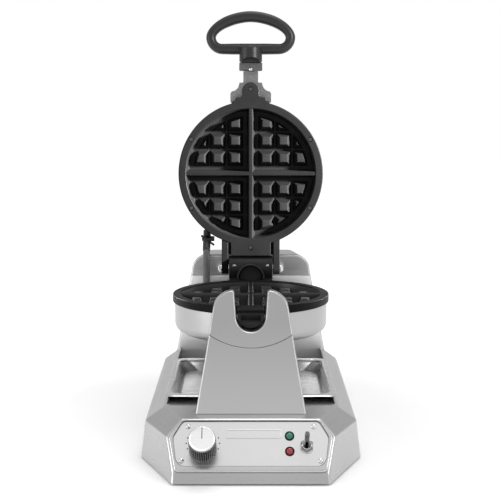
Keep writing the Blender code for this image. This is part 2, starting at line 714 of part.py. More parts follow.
def hinge_pins(lid, pin_look, nut_look):
    """Two stub pins on the lid's arms, each under a domed nut."""
    for side, sign in (("left", -1), ("right", 1)):
        turn = (0, sign * math.pi / 2, 0)
        solid(f"hinge_pin_{side}", rod(PIN_R, 0.0198, ARM_OUTER_X, 16), lid, pin_look, rotation=turn,
              smooth=True)
        low = ARM_OUTER_X + GAP
        dome = [(0, low), (0.0068, low), (0.0068, low + 0.0018), (0.0055, low + 0.0036),
                (0.0030, low + 0.0048), (0, low + 0.0052)]
        solid(f"hinge_nut_{side}", turned(dome, 24), lid, nut_look, rotation=turn, smooth=True)


# ---- handle ---------------------------------------------------------------------------------------
def handle_bracket(parent, look):
    """The steel plate behind the front tab: ears, a neck and a strip."""
    half = [(0.0250, 0.0985), (0.0280, 0.1015), (0.0280, 0.1095), (0.0245, 0.1135), (0.0195, 0.1155),
            (0.0160, 0.1190), (0.0145, 0.1250), (0.0145, 0.1275), (0.0086, 0.1275), (0.0086, STRIP_END)]
    low = -FLANGE_THICK - GAP
    solid("handle_bracket", prism(mirrored(half), low - BRACKET_THICK, low), parent, look)


def handle_clamp(parent, look, screw_look):
    outline = arc((0, -GAP), JOURNAL_R, 180, 360, 14)
    clamp = solid("handle_clamp", prism(outline, STRIP_END + GAP, CLAMP_END, "Y"), parent, look)
    well = solid("clamp_screw_well", rod(0.0021, -0.004, 0.01, 12), parent, None, (0, 0.1425, 0))
    combine(clamp, well, "DIFFERENCE")
    head = [(0, -0.0037), (0.0018, -0.0037), (0.0018, -0.0009), (0.0010, -0.0005), (0, -0.0005)]
    solid("clamp_screw", turned(head, 12), parent, screw_look, (0, 0.1425, 0), smooth=True)


def handle_grip(parent, look):
    """A closed loop with a flat near side, on a half-round boss."""
    corner = LOOP_SIDE - LOOP_NEAR
    right = arc((LOOP_HALF_WIDTH - corner, LOOP_SIDE), corner, -90, 0, 5)
    arch = arc((0, LOOP_SIDE), LOOP_HALF_WIDTH, 0, 180, 20, (LOOP_FAR - LOOP_SIDE) / LOOP_HALF_WIDTH)
    left = [(-x, y) for x, y in reversed(right)]
    flat = right + arch[1:-1] + left
    middle = -0.008
    loop = tube([(x, y, middle) for x, y in flat], LOOP_TUBE_R, (0, 0, 1), 12, closed=True)
    grip = solid("handle_grip", loop, parent, look, smooth=True)
    boss = solid("grip_boss", prism(arc((0, -GAP), JOURNAL_R - 0.0003, 180, 360, 14), CLAMP_END + GAP,
                                    BOSS_END + 0.004, "Y"), parent, None)
    combine(grip, boss, "UNION")


# ---- conduit --------------------------------------------------------------------------------------
def conduit(parent, look, tie_look):
    """The sleeve that carries the upper iron's wires past the hinge, and the tie round it."""
    x = -0.061
    route = [(0.081, -0.028), (0.090, -0.028), (0.099, -0.025), (0.106, -0.018), (0.1105, -0.008),
             (0.1125, 0.004), (0.1130, 0.016), (0.1150, 0.028), (0.1205, 0.039), (0.1290, 0.047),
             (0.1375, 0.0525), (0.1435, 0.0570), (0.1465, 0.0615)]
    shape = tube([(x, y, z) for y, z in route], 0.0052, (1, 0, 0), 10)
    solid("conduit", shape, parent, look, smooth=True)
    turn = math.radians(-45)
    place = (x, 0.1262, 0.0448)
    tie = solid("zip_tie", ring(0.0060, 0.0072, -0.0018, 0.0018, 20), parent, tie_look, place, (turn, 0, 0))
    head = solid("zip_tie_head", box((0.0062, -0.0030, -0.0026), (0.0105, 0.0025, 0.0026)), parent, None,
                 place, (turn, 0, 0))
    combine(tie, head, "UNION")


# ---- assembly -------------------------------------------------------------------------------------
def main():
    clear_scene()
    steel = material("brushed_steel", (0.62, 0.62, 0.62), 0.35, 1.0)
    bright = material("bright_steel", (0.75, 0.75, 0.76), 0.18, 1.0)
    cast = material("cast_aluminium_coated", (0.03, 0.03, 0.032), 0.5, 0.2)
    phenolic = material("black_phenolic", (0.02, 0.02, 0.02), 0.45, 0.0)
    grey = material("grey_clamp", (0.30, 0.30, 0.31), 0.5, 0.6)
    rubber = material("rubber", (0.02, 0.02, 0.02), 0.8, 0.0)
    element = material("heater_sheath", (0.25, 0.22, 0.2), 0.5, 0.8)
    sleeve = material("fibre_sleeve", (0.12, 0.12, 0.12), 0.85, 0.0)
    green = material("green_lens", (0.02, 0.5, 0.12), 0.15, 0.0)
    red = material("red_lens", (0.7, 0.03, 0.02), 0.15, 0.0)
    satin = material("satin_plate", (0.8, 0.8, 0.8), 0.4, 0.9)
    brass = material("bronze_bush", (0.6, 0.42, 0.2), 0.35, 1.0)

    machine = empty("machine", (0, CENTRE_Y, 0))
    panel = empty("panel_plane", (0, PANEL_FOOT_Y, LIP_TOP), (PANEL_ANGLE, 0, 0), machine)
    knob_joint = empty("knob_joint", (*KNOB_AT, 0), parent=panel)
    lever_joint = empty("lever_joint", (*TOGGLE_AT, TOGGLE_PIVOT), (-TOGGLE_TILT, 0, 0), panel)
    rotor = empty("flip_joint", (0, 0, AXIS_Z), parent=machine)
    lid = empty("lid_joint", (0, HINGE_Y, HINGE_UP), (-OPEN_ANGLE, 0, 0), rotor)
    # The upper iron is drawn face up and then turned over about the axis across the machine.
    upper = empty("upper_iron", (0, -HINGE_Y, -HINGE_UP), (math.pi, 0, 0), lid)

    base_shell(machine, panel, steel)
    base_floor(machine, steel)
    feet(machine, rubber)
    cord_gland(machine, rubber)
    front_post(machine, steel)
    front_post_cap(machine, steel)
    rear_tower(machine, steel)
    tower_rear_cover(machine, steel)
    pivot_bush(machine, brass)
    drip_tray(machine, bright)
    control_panel(panel, steel, satin, bright)
    thermostat(panel, knob_joint, steel, phenolic, satin)
    lamps(panel, green, red)
    toggle_switch(panel, lever_joint, phenolic, bright)

    waffle_plate("lower_plate", rotor, cast)
    iron_housing("lower_housing", rotor, bright)
    heating_element("lower_heating_element", rotor, element)
    hinge_block(rotor, cast)
    pivot_shaft(rotor, bright, steel)
    front_journal(rotor, cast)
    conduit(rotor, sleeve, phenolic)

    upper_plate(upper, cast, bright)
    iron_housing("upper_housing", upper, bright)
    heating_element("upper_heating_element", upper, element)
    hinge_pins(lid, steel, bright)
    handle_bracket(upper, bright)
    handle_clamp(upper, grey, bright)
    handle_grip(upper, phenolic)


main()
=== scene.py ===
"""Looks for the counter-top rotary waffle maker: every visible piece, its materials, the studio and the
camera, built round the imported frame. Metres, +Z up, the front faces -Y."""

import math

import bmesh
import bpy
from mathutils import Matrix, Vector


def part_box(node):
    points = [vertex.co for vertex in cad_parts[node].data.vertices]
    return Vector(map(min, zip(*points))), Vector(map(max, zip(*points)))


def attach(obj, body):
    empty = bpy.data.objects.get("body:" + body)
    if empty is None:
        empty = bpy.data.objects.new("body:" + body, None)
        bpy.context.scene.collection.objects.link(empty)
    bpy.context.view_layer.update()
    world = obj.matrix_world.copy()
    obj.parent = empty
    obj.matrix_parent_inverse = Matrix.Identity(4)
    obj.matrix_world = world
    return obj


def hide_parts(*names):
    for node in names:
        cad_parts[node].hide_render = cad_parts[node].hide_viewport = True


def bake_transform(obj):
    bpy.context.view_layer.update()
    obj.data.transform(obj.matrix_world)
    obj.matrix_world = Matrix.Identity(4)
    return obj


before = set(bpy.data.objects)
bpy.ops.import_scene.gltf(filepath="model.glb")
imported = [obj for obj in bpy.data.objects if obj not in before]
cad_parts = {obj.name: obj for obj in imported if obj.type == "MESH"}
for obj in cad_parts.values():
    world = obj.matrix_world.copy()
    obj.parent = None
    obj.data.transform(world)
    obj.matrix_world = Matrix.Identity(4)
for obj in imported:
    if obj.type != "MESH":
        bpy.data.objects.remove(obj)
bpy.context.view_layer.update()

# ---- driving dimensions, measured on the frame where a node shows them ----------------------------
PLATE_LOW, PLATE_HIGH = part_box("lower_plate")
POST_LOW, POST_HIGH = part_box("front_post")
CAP_LOW, CAP_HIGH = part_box("front_post_cap")
TRAY_LOW, TRAY_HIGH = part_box("drip_tray")
CENTRE_Y = (PLATE_LOW.y + PLATE_HIGH.y) / 2
AXIS_Z = PLATE_HIGH.z + 0.00025
FLANGE_R = PLATE_HIGH.x
GAP = 0.0003
SHEET = 0.0015
DOME_SQUEEZE = 0.62

# irons
HINGE_Y = 0.1315
HINGE_UP = 0.011
OPEN_ANGLE = math.radians(93)
FLANGE_THICK = 0.01
CAVITY_R = 0.089
CAVITY_FLOOR_R = 0.0865
CAVITY_DEEP = 0.018
PAN_R = 0.092
PAN_DEEP = 0.022
STUD_PITCH = 0.024
STUD_FIRST = 0.0214
STUD_HIGH = 0.0145
STUD_FIELD_FOOT_R = 0.08
STUD_FIELD_TOP_R = 0.0753
RIDGE_FOOT = 0.0054
RIDGE_HIGH = 0.0172
HOUSING_R = 0.097
HOUSING_DEEP = 0.048
HOUSING_CORNER_R = 0.012
EDGE_R = 0.0009
RIM_SCREW_AT_R = 0.0943
ARM_INNER_X = 0.0312
ARM_OUTER_X = 0.0402
TAB_END = 0.124
CONDUIT_X = -0.061

# handle, along the lid from its centre
STRIP_END = 0.14
CLAMP_END = 0.151
BOSS_END = 0.1725
JOURNAL_R = 0.0158
LOOP_HALF_WIDTH = 0.0543
LOOP_NEAR = 0.1702
LOOP_SIDE = 0.1858
LOOP_FAR = 0.214

# base, post, tower and tray
BASE_BOTTOM = 0.0022
FOOT_HALF_WIDTH = 0.1268
WALL_HALF_WIDTH = 0.1216
DECK_HALF_WIDTH = 0.0993
FRONT_CORNER_Y = -0.164
REAR_CORNER_Y = 0.142
LIP_TOP = 0.012
WALL_TOP = 0.0458
DECK_Z = 0.0618
RECESS_FLOOR = 0.057
INNER_DECK_Z = 0.0553
WELL_FLOOR = 0.0405
PANEL_ANGLE = math.radians(51.5)
PANEL_FOOT_Y = -0.254
POST_FOOT_Y = POST_LOW.y - CENTRE_Y
POST_REAR_Y = POST_HIGH.y - CENTRE_Y
POST_TOP_Z = CAP_HIGH.z
POST_SEAM_HALF = CAP_HIGH.x
SEAM_EDGE_Z = 0.1454
SEAM_MIDDLE_Z = CAP_LOW.z - GAP
POST_LEAN = (CAP_LOW.y - POST_LOW.y) / (CAP_LOW.z - POST_LOW.z)
NOTCH_R = 0.0172
NOTCH_DROP = 0.001
TOWER_FRONT_Y = 0.142
TOWER_REAR_Y = 0.19
TOWER_TOP_Z = 0.195
TOWER_SPLIT_Z = 0.165
TOWER_TAPER = 0.86
COVER_FOOT_Z = 0.0625
TOWER_EDGE_R = 0.0034
SHOULDER_WIDE = 0.022
SHOULDER_HIGH = 0.023
CORD_AT = (-0.06, 0.025)
PANEL_PLATE_TOP = 0.002
KNOB_AT = (-0.0523, 0.0275)
KNOB_R = 0.0152
KNOB_HIGH = 0.0295
GREEN_LAMP_AT = (0.0422, 0.0424)
RED_LAMP_AT = (0.0422, 0.0247)
TOGGLE_AT = (0.0608, 0.0307)
TOGGLE_TILT = math.radians(16)
PANEL_SCREWS_AT = [(-0.069, 0.0535), (0.069, 0.0535), (-0.0755, 0.014), (0.0755, 0.014)]

# the camera, and the pale floor's fade with distance from the machine
CAMERA_AT = (-0.001, CENTRE_Y - 1.426, 0.4153)
CAMERA_DOWN = 7.78
LENS_MM = 81.36
SENSOR_MM = 36
FLOOR_NEAR, FLOOR_FAR = 0.28, 0.6

# the surroundings' brightness from in front of the machine (0) to behind it (1)
WORLD_TONES = [(0.01, 0.74), (0.13, 0.72), (0.3, 1.00), (0.5, 0.95), (0.72, 0.6), (0.99, 0.62)]

# places: each shape is drawn in its holder's own frame, then put here
MACHINE = Matrix.Translation((0, CENTRE_Y, 0))
PANEL_PLACE = Matrix.Translation((0, PANEL_FOOT_Y, LIP_TOP)) @ Matrix.Rotation(PANEL_ANGLE, 4, "X")
PANEL = MACHINE @ PANEL_PLACE
ROTOR = MACHINE @ Matrix.Translation((0, 0, AXIS_Z))
LID = ROTOR @ Matrix.Translation((0, HINGE_Y, HINGE_UP)) @ Matrix.Rotation(-OPEN_ANGLE, 4, "X")
UPPER = LID @ Matrix.Translation((0, -HINGE_Y, -HINGE_UP)) @ Matrix.Rotation(math.pi, 4, "X")
ALONG_X = Matrix.Rotation(math.pi / 2, 4, "Y")
ALONG_Y = Matrix.Rotation(-math.pi / 2, 4, "X")


def at(x, y, z=0.0):
    return Matrix.Translation((x, y, z))


# ---- shapes ---------------------------------------------------------------------------------------
def arc(centre, radius, start, end, steps, squeeze=1):
    """Points on an arc, with angles in degrees; squeeze scales it in the second direction."""
    points = []
    for step in range(steps + 1):
        angle = math.radians(start + (end - start) * step / steps)
        points.append((centre[0] + radius * math.cos(angle), centre[1] + radius * squeeze * math.sin(angle)))
    return points


def mirrored(half):
    """A whole outline from its right half, which runs from bottom to top."""
    return half + [(-x, y) for x, y in reversed(half) if x != 0]


def filleted(outline, reach, steps):
    """The outline with each corner rounded over a reach along its sides; points on the axis stay."""
    points = []
    count = len(outline)
    for i, corner in enumerate(outline):
        if corner[0] == 0:
            points.append(corner)
            continue
        here = Vector(corner)
        before = Vector(outline[i - 1]) - here
        after = Vector(outline[(i + 1) % count]) - here
        start = here + before.normalized() * min(reach, before.length * 0.45)
        end = here + after.normalized() * min(reach, after.length * 0.45)
        for step in range(steps + 1):
            t = step / steps
            points.append(tuple(start * (1 - t) ** 2 + here * 2 * t * (1 - t) + end * t * t))
    return points


def inset(outline, amount):
    """The outline moved inwards by an amount along each corner's mitre. It runs anticlockwise."""
    moved = []
    for i, point in enumerate(outline):
        before = Vector(point) - Vector(outline[i - 1])
        after = Vector(outline[(i + 1) % len(outline)]) - Vector(point)
        normals = [Vector((-side.y, side.x)).normalized() for side in (before, after)]
        middle = (normals[0] + normals[1]).normalized()
        reach = amount / max(middle.dot(normals[0]), 0.5)
        moved.append((point[0] + middle.x * reach, point[1] + middle.y * reach))
    return moved


def rings_to_solid(rings, closed=False):
    """A skin over rings with the same number of points, capped at both ends or joined into a loop."""
    shape = bmesh.new()
    rows = [[shape.verts.new(point) for point in ring] for ring in rings]
    pairs = list(zip(rows, rows[1:] + rows[:1])) if closed else list(zip(rows, rows[1:]))
    for low, high in pairs:
        for i in range(len(low)):
            j = (i + 1) % len(low)
            shape.faces.new((low[i], low[j], high[j], high[i]))
    if not closed:
        shape.faces.new(rows[0])
        shape.faces.new(rows[-1])
    return outward(shape)


def outward(shape):
    bmesh.ops.recalc_face_normals(shape, faces=shape.faces)
    return shape


def prism(outline, low, high, axis="Z"):
    """The outline, in the two other axes in X, Y, Z order, pushed from low to high along the axis."""
    place = {
        "X": lambda u, v, w: (w, u, v),
        "Y": lambda u, v, w: (u, w, v),
        "Z": lambda u, v, w: (u, v, w),
    }[axis]
    return rings_to_solid([[place(u, v, w) for u, v in outline] for w in (low, high)])


def rectangle(low, high):
    return [(low[0], low[1]), (high[0], low[1]), (high[0], high[1]), (low[0], high[1])]


def box(low, high):
    return prism(rectangle(low, high), low[2], high[2])


def turned(profile, steps):
    """A closed profile of (radius, height) turned about Z. Points at radius 0 become poles."""
    shape = bmesh.new()
    columns = []
    for radius, height in profile:
        if radius == 0:
            columns.append([shape.verts.new((0, 0, height))] * steps)
            continue
        angles = [2 * math.pi * step / steps for step in range(steps)]
        ring = [(radius * math.cos(a), radius * math.sin(a), height) for a in angles]
        columns.append([shape.verts.new(point) for point in ring])
    for here, there in zip(columns, columns[1:] + columns[:1]):
        for i in range(steps):
            j = (i + 1) % steps
            corners = list(dict.fromkeys((here[i], here[j], there[j], there[i])))
            if len(corners) > 2:
                shape.faces.new(corners)
    return outward(shape)


def lathe(profile, reach, steps=40, corner_steps=2):
    """The profile turned about Z, with its corners rounded over a reach."""
    return turned(filleted(profile, reach, corner_steps), steps)


def rod(radius, low, high, steps=32):
    return lathe([(0, low), (radius, low), (radius, high), (0, high)], 0.0003, steps)


def tube(path, radius):
    """A round tube along points in space."""
    sides = 16
    angles = [2 * math.pi * k / sides for k in range(sides)]
    rings = []
    side = None
    for i, point in enumerate(path):
        before = path[max(i - 1, 0)]
        after = path[min(i + 1, len(path) - 1)]
        along = (after - before).normalized()
        if side is None:
            side = along.orthogonal().normalized()
        side = (side - along * side.dot(along)).normalized()
        other = along.cross(side)
        rings.append([point + (side * math.cos(a) + other * math.sin(a)) * radius for a in angles])
    return rings_to_solid(rings)


def smooth_path(points):
    """A Catmull-Rom curve through the points."""
    steps = 6
    line = [Vector(p) for p in points]
    line = [line[0] * 2 - line[1], *line, line[-1] * 2 - line[-2]]
    path = []
    for a, b, c, d in zip(line, line[1:], line[2:], line[3:]):
        square = 2 * a - 5 * b + 4 * c - d
        cube = 3 * b - a - 3 * c + d
        for step in range(steps):
            t = step / steps
            path.append(0.5 * (2 * b + (c - a) * t + square * t**2 + cube * t**3))
    return path + [line[-2]]


def rounded(shape, width, segments, angle=30, where=lambda a, b: True):
    """Rounds the edges sharper than an angle; where(a, b) picks them by their two ends."""
    limit = math.radians(angle)
    edges = [edge for edge in shape.edges if edge.is_manifold and edge.calc_face_angle(0) > limit
             and where(edge.verts[0].co, edge.verts[1].co)]
    bmesh.ops.bevel(shape, geom=edges, offset=width, segments=segments, profile=0.5, affect="EDGES",
                    clamp_overlap=True)
    return shape


def slab(outline, low, high, edge, steps=3, axis="Z"):
    """A prism with all its sharp edges rounded."""
    return rounded(prism(outline, low, high, axis), edge, steps, 40)


def moved(shape, place):
    shape.transform(place)
    return shape


def scrap_object(shape):
    outward(shape)
    mesh = bpy.data.meshes.new("scrap")
    shape.to_mesh(mesh)
    shape.free()
    made = bpy.data.objects.new("scrap", mesh)
    bpy.context.scene.collection.objects.link(made)
    return made


def boolean(shape, operation, *others):
    """The shape after Booleans with the others, which are all used up."""
    target = scrap_object(shape)
    helpers = [scrap_object(other) for other in others]
    for helper in helpers:
        modifier = target.modifiers.new("boolean", "BOOLEAN")
        modifier.operation = operation
        modifier.object = helper
        modifier.solver = "EXACT"
    bpy.context.view_layer.update()
    evaluated = target.evaluated_get(bpy.context.evaluated_depsgraph_get())
    made = bmesh.new()
    made.from_mesh(evaluated.to_mesh())
    evaluated.to_mesh_clear()
    for scrap in (target, *helpers):
        mesh = scrap.data
        bpy.data.objects.remove(scrap)
        bpy.data.meshes.remove(mesh)
    return made


def cut(shape, *others):
    return boolean(shape, "DIFFERENCE", *others)


def join(shape, *others):
    return boolean(shape, "UNION", *others)


def piece(name, shape, place, body, look, nodes=(), sharp=32, painted_shade_look=None):
    """A finished piece: the shape put in its place, shaded, riding on its body and standing for its nodes.
    Faces with material index 1 get the painted-shade look."""
    outward(shape)
    mesh = bpy.data.meshes.new(name)
    shape.to_mesh(mesh)
    shape.free()
    mesh.transform(place)
    mesh.materials.append(look)
    if painted_shade_look:
        mesh.materials.append(painted_shade_look)
    mesh.shade_smooth()
    mesh.set_sharp_from_angle(angle=math.radians(sharp))
    made = bpy.data.objects.new(name, mesh)
    bpy.context.scene.collection.objects.link(made)
    made.modifiers.new("weighted_normals", "WEIGHTED_NORMAL").keep_sharp = True
    if body:
        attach(made, body)
    if nodes:
        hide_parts(*nodes)
    return made


# ---- materials ------------------------------------------------------------------------------------
def material(name, metallic=0.0, **constants):
    made = bpy.data.materials.new(name)
    made.use_nodes = True
    shader = made.node_tree.nodes["Principled BSDF"]
    shader.inputs["Metallic"].default_value = metallic
    for label, value in constants.items():
        shader.inputs[label.replace("_", " ").title()].default_value = value
    return made


def node(tree, kind, **constants):
    """A new shader node, with constants on its inputs."""
    made = tree.nodes.new("ShaderNode" + kind)
    for label, value in constants.items():
        made.inputs[label.replace("_", " ").title()].default_value = value
    return made


def noise(tree, scale, stretch=(1, 1, 1), detail=3.0):
    """A noise in object space, stretched along some axes; returns its factor."""
    place = node(tree, "TexCoord")
    mapping = node(tree, "Mapping", scale=stretch)
    made = node(tree, "TexNoise", scale=scale, detail=detail, roughness=0.55)
    tree.links.new(place.outputs["Object"], mapping.inputs["Vector"])
    tree.links.new(mapping.outputs["Vector"], made.inputs["Vector"])
    return made.outputs["Fac"]


def ranged(tree, value, low, high, from_low=0.3, from_high=0.7):
    """The value's share of the way between two numbers, as a number from low to high."""
    made = node(tree, "MapRange", from_min=from_low, from_max=from_high, to_min=low, to_max=high)
    tree.links.new(value, made.inputs["Value"])
    return made.outputs["Result"]


def height(tree, low, high):
    """0 at a low height to 1 at a high one, in object space."""
    place = node(tree, "TexCoord")
    axes = node(tree, "SeparateXYZ")
    tree.links.new(place.outputs["Object"], axes.inputs[0])
    return ranged(tree, axes.outputs["Z"], 0, 1, low, high)


def blended(tree, value, low, high, from_low=0.3, from_high=0.7):
    """A colour between low and high by a value."""
    ramp = node(tree, "ValToRGB")
    stops = ((from_low, low), (from_high, high))
    for element, (position, colour) in zip(ramp.color_ramp.elements, stops):
        element.position = position
        element.color = (*colour, 1)
    tree.links.new(value, ramp.inputs["Fac"])
    return ramp.outputs["Color"]


def feed(tree, label, socket):
    tree.links.new(socket, tree.nodes["Principled BSDF"].inputs[label])


def bumped(tree, value, strength, distance):
    bump = node(tree, "Bump", strength=strength, distance=distance)
    tree.links.new(value, bump.inputs["Height"])
    feed(tree, "Normal", bump.outputs["Normal"])


def brushed(name, tone, rough, stretch, spread=0.03, strength=0.02, painted_reflection_grade=None):
    """Steel brushed along the axes with the small stretch, with faint cloudy patches.
    A painted_reflection_grade (foot tone, foot height, top height) paints a reflection that blends from the
    foot tone to the tone going up."""
    made = material(name, 1.0)
    tree = made.node_tree
    grain = noise(tree, 420, stretch, 4)
    cloud = noise(tree, 9, (1, 1, 1), 2)
    colour = blended(tree, cloud, [tone - spread] * 3, [tone + spread] * 3)
    if painted_reflection_grade:
        foot, low, high = painted_reflection_grade
        colour = blended(tree, height(tree, low, high), [foot] * 3, [tone] * 3, 0, 1)
    feed(tree, "Base Color", colour)
    wide = 0.02 + strength
    feed(tree, "Roughness", ranged(tree, grain, rough - wide, rough + wide))
    bumped(tree, grain, strength, 0.0002)
    return made


def cast(name, tone, rough, fineness=700, strength=0.25, metallic=0.0, shine=0.5):
    """A cast or moulded surface: fine pimples, and slightly worn, lighter specks."""
    made = material(name, metallic)
    tree = made.node_tree
    tree.nodes["Principled BSDF"].inputs["Specular IOR Level"].default_value = shine
    grain = noise(tree, fineness, detail=2)
    cloud = noise(tree, 25, detail=4)
    feed(tree, "Base Color", blended(tree, grain, [tone * 0.8] * 3, [tone * 1.3] * 3, 0.35, 0.7))
    feed(tree, "Roughness", ranged(tree, cloud, rough - 0.07, rough + 0.08))
    bumped(tree, grain, strength, 0.0003)
    return made


def lens(name, deep, light):
    """A glossy coloured lens with a painted glow: lighter where it faces the eye, darker towards its edge.
    """
    made = material(name, coat_weight=0.6, coat_roughness=0.05, roughness=0.18)
    tree = made.node_tree
    painted_glow = node(tree, "LayerWeight", blend=0.4)
    swirl = noise(tree, 500, detail=1)
    feed(tree, "Base Color", blended(tree, painted_glow.outputs["Facing"], light, deep, 0.05, 0.7))
    feed(tree, "Emission Color", blended(tree, swirl, deep, light))
    tree.nodes["Principled BSDF"].inputs["Emission Strength"].default_value = 0.05
    return made


def woven(name, tone, rough):
    """A braided sleeve: two crossed sets of fine diagonal bands."""
    made = material(name)
    tree = made.node_tree
    place = node(tree, "TexCoord")
    bands = []
    for turn in (0.7, -0.7):
        mapping = node(tree, "Mapping", rotation=(turn, 0.3, 0))
        wave = node(tree, "TexWave", scale=260)
        wave.bands_direction = "Z"
        tree.links.new(place.outputs["Object"], mapping.inputs["Vector"])
        tree.links.new(mapping.outputs["Vector"], wave.inputs["Vector"])
        bands.append(wave.outputs["Fac"])
    cross = node(tree, "Math")
    cross.operation = "MULTIPLY"
    for band, socket in zip(bands, cross.inputs):
        tree.links.new(band, socket)
    feed(tree, "Base Color", blended(tree, cross.outputs[0], [tone * 0.6] * 3, [tone * 1.4] * 3, 0.1, 0.8))
    feed(tree, "Roughness", ranged(tree, noise(tree, 300), rough - 0.1, rough + 0.1))
    bumped(tree, cross.outputs[0], 0.5, 0.0003)
    return made


def warm(name, colour, rough, metallic):
    """A plain metal with a mottled tint."""
    made = material(name, metallic)
    tree = made.node_tree
    cloud = noise(tree, 60, detail=4)
    feed(tree, "Base Color", blended(tree, cloud, [c * 0.8 for c in colour], [c * 1.15 for c in colour]))
    feed(tree, "Roughness", ranged(tree, cloud, rough - 0.08, rough + 0.08))
    bumped(tree, noise(tree, 500), 0.1, 0.0002)
    return made


EVEN = (1, 1, 1)
ACROSS_BRUSH = (0.02, 1, 1)
UPRIGHT_BRUSH = (1, 0.02, 0.02)
ROUND_BRUSH = (0.02, 0.02, 1)
BODY_STEEL = brushed("body_steel", 0.53, 0.3, ROUND_BRUSH, 0.02, 0.02)
# The post's steel is painted lighter towards the post's foot: a painted reflection, not a change in the
# steel.
POST_STEEL = brushed("post_steel", 0.475, 0.32, UPRIGHT_BRUSH, 0.02, 0.006, (0.61, 0.062, 0.16))
BEZEL_STEEL = brushed("bezel_steel", 0.58, 0.24, ACROSS_BRUSH, 0.02, 0.02)
TOWER_STEEL = brushed("tower_steel", 0.52, 0.32, ROUND_BRUSH, 0.02, 0.012)
BRIGHT_STEEL = brushed("bright_steel", 0.7, 0.2, EVEN)
HOUSING_STEEL = brushed("housing_steel", 0.43, 0.32, (0.05, 0.05, 1), 0.01, 0.002)
PLATE_SATIN = brushed("satin_plate", 0.75, 0.25, ACROSS_BRUSH, 0.02, 0.01)
TRAY_STEEL = brushed("tray_steel", 0.67, 0.25, ACROSS_BRUSH, 0.02, 0.012)
DARK_CHROME = brushed("dark_chrome", 0.3, 0.16, EVEN)
LEVER_CHROME = brushed("lever_chrome", 0.15, 0.16, EVEN)
SCREW_DARK = brushed("screw_dark", 0.13, 0.34, EVEN)
KNOB_SATIN = brushed("knob_satin", 0.92, 0.28, ACROSS_BRUSH, 0.02, 0.03)
CAST_BLACK = cast("cast_black", 0.0075, 0.5, shine=0.09)
# The lower plate gets a lighter, glossier copy of the cast black: painted light standing in for the plate
# key, which lights only the upper plate.
LOWER_PAINTED_LIGHT_BLACK = cast("cast_black_lower_painted_light", 0.01, 0.34)
# A darker copy of the cast black for the faces outside the plate's cavity: painted shade.
RIM_PAINTED_SHADE = cast("rim_painted_shade", 0.0036, 0.48, 900, 0.15, 0.0, 0.09)
BLOCK_BLACK = cast("block_black", 0.008, 0.42, 700, 0.2, 0.0, 0.25)
CLAMP_GREY = cast("clamp_grey", 0.125, 0.45, 600, 0.2, 0.3)
STRAP_GREY = cast("strap_grey", 0.25, 0.42, 700, 0.2, 0.6)
PHENOLIC = cast("phenolic", 0.01, 0.38, 900, 0.012, 0.0, 0.42)
# The knob's black skirt is painted in two copies: a lighter, metallic one for a painted sheen on the ribs
# and a darker one for painted shade in the grooves.
KNOB_RIB_PAINTED_SHEEN = cast("knob_rib_painted_sheen", 0.22, 0.26, 900, 0.1, 0.6, 0.9)
KNOB_GROOVE_PAINTED_SHADE = cast("knob_groove_painted_shade", 0.006, 0.4, 900, 0.1, 0.0, 0.2)
RUBBER = cast("rubber", 0.014, 0.75, 500, 0.3)
SHEATH = warm("heater_sheath", (0.25, 0.22, 0.2), 0.5, 0.9)
BRONZE = warm("bronze", (0.55, 0.38, 0.18), 0.35, 1.0)
SLEEVE = woven("sleeve", 0.1, 0.42)
GREEN = lens("green_lens", (0.0, 0.04, 0.025), (0.003, 0.17, 0.09))
RED = lens("red_lens", (0.07, 0.0, 0.003), (0.3, 0.008, 0.014))

for kept, kept_look in {
    "base_bottom_plate": BODY_STEEL,
    "pivot_bush": BRONZE,
    "shaft_collar": BODY_STEEL,
    "thermostat_body": BODY_STEEL,
    "hinge_pin_left": BRIGHT_STEEL,
    "hinge_pin_right": BRIGHT_STEEL,
    "lower_heating_element": SHEATH,
    "upper_heating_element": SHEATH,
}.items():
    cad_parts[kept].data.materials.clear()
    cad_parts[kept].data.materials.append(kept_look)


# ---- base -----------------------------------------------------------------------------------------
def panel_y(z):
    return PANEL_FOOT_Y + (z - LIP_TOP) / math.tan(PANEL_ANGLE)


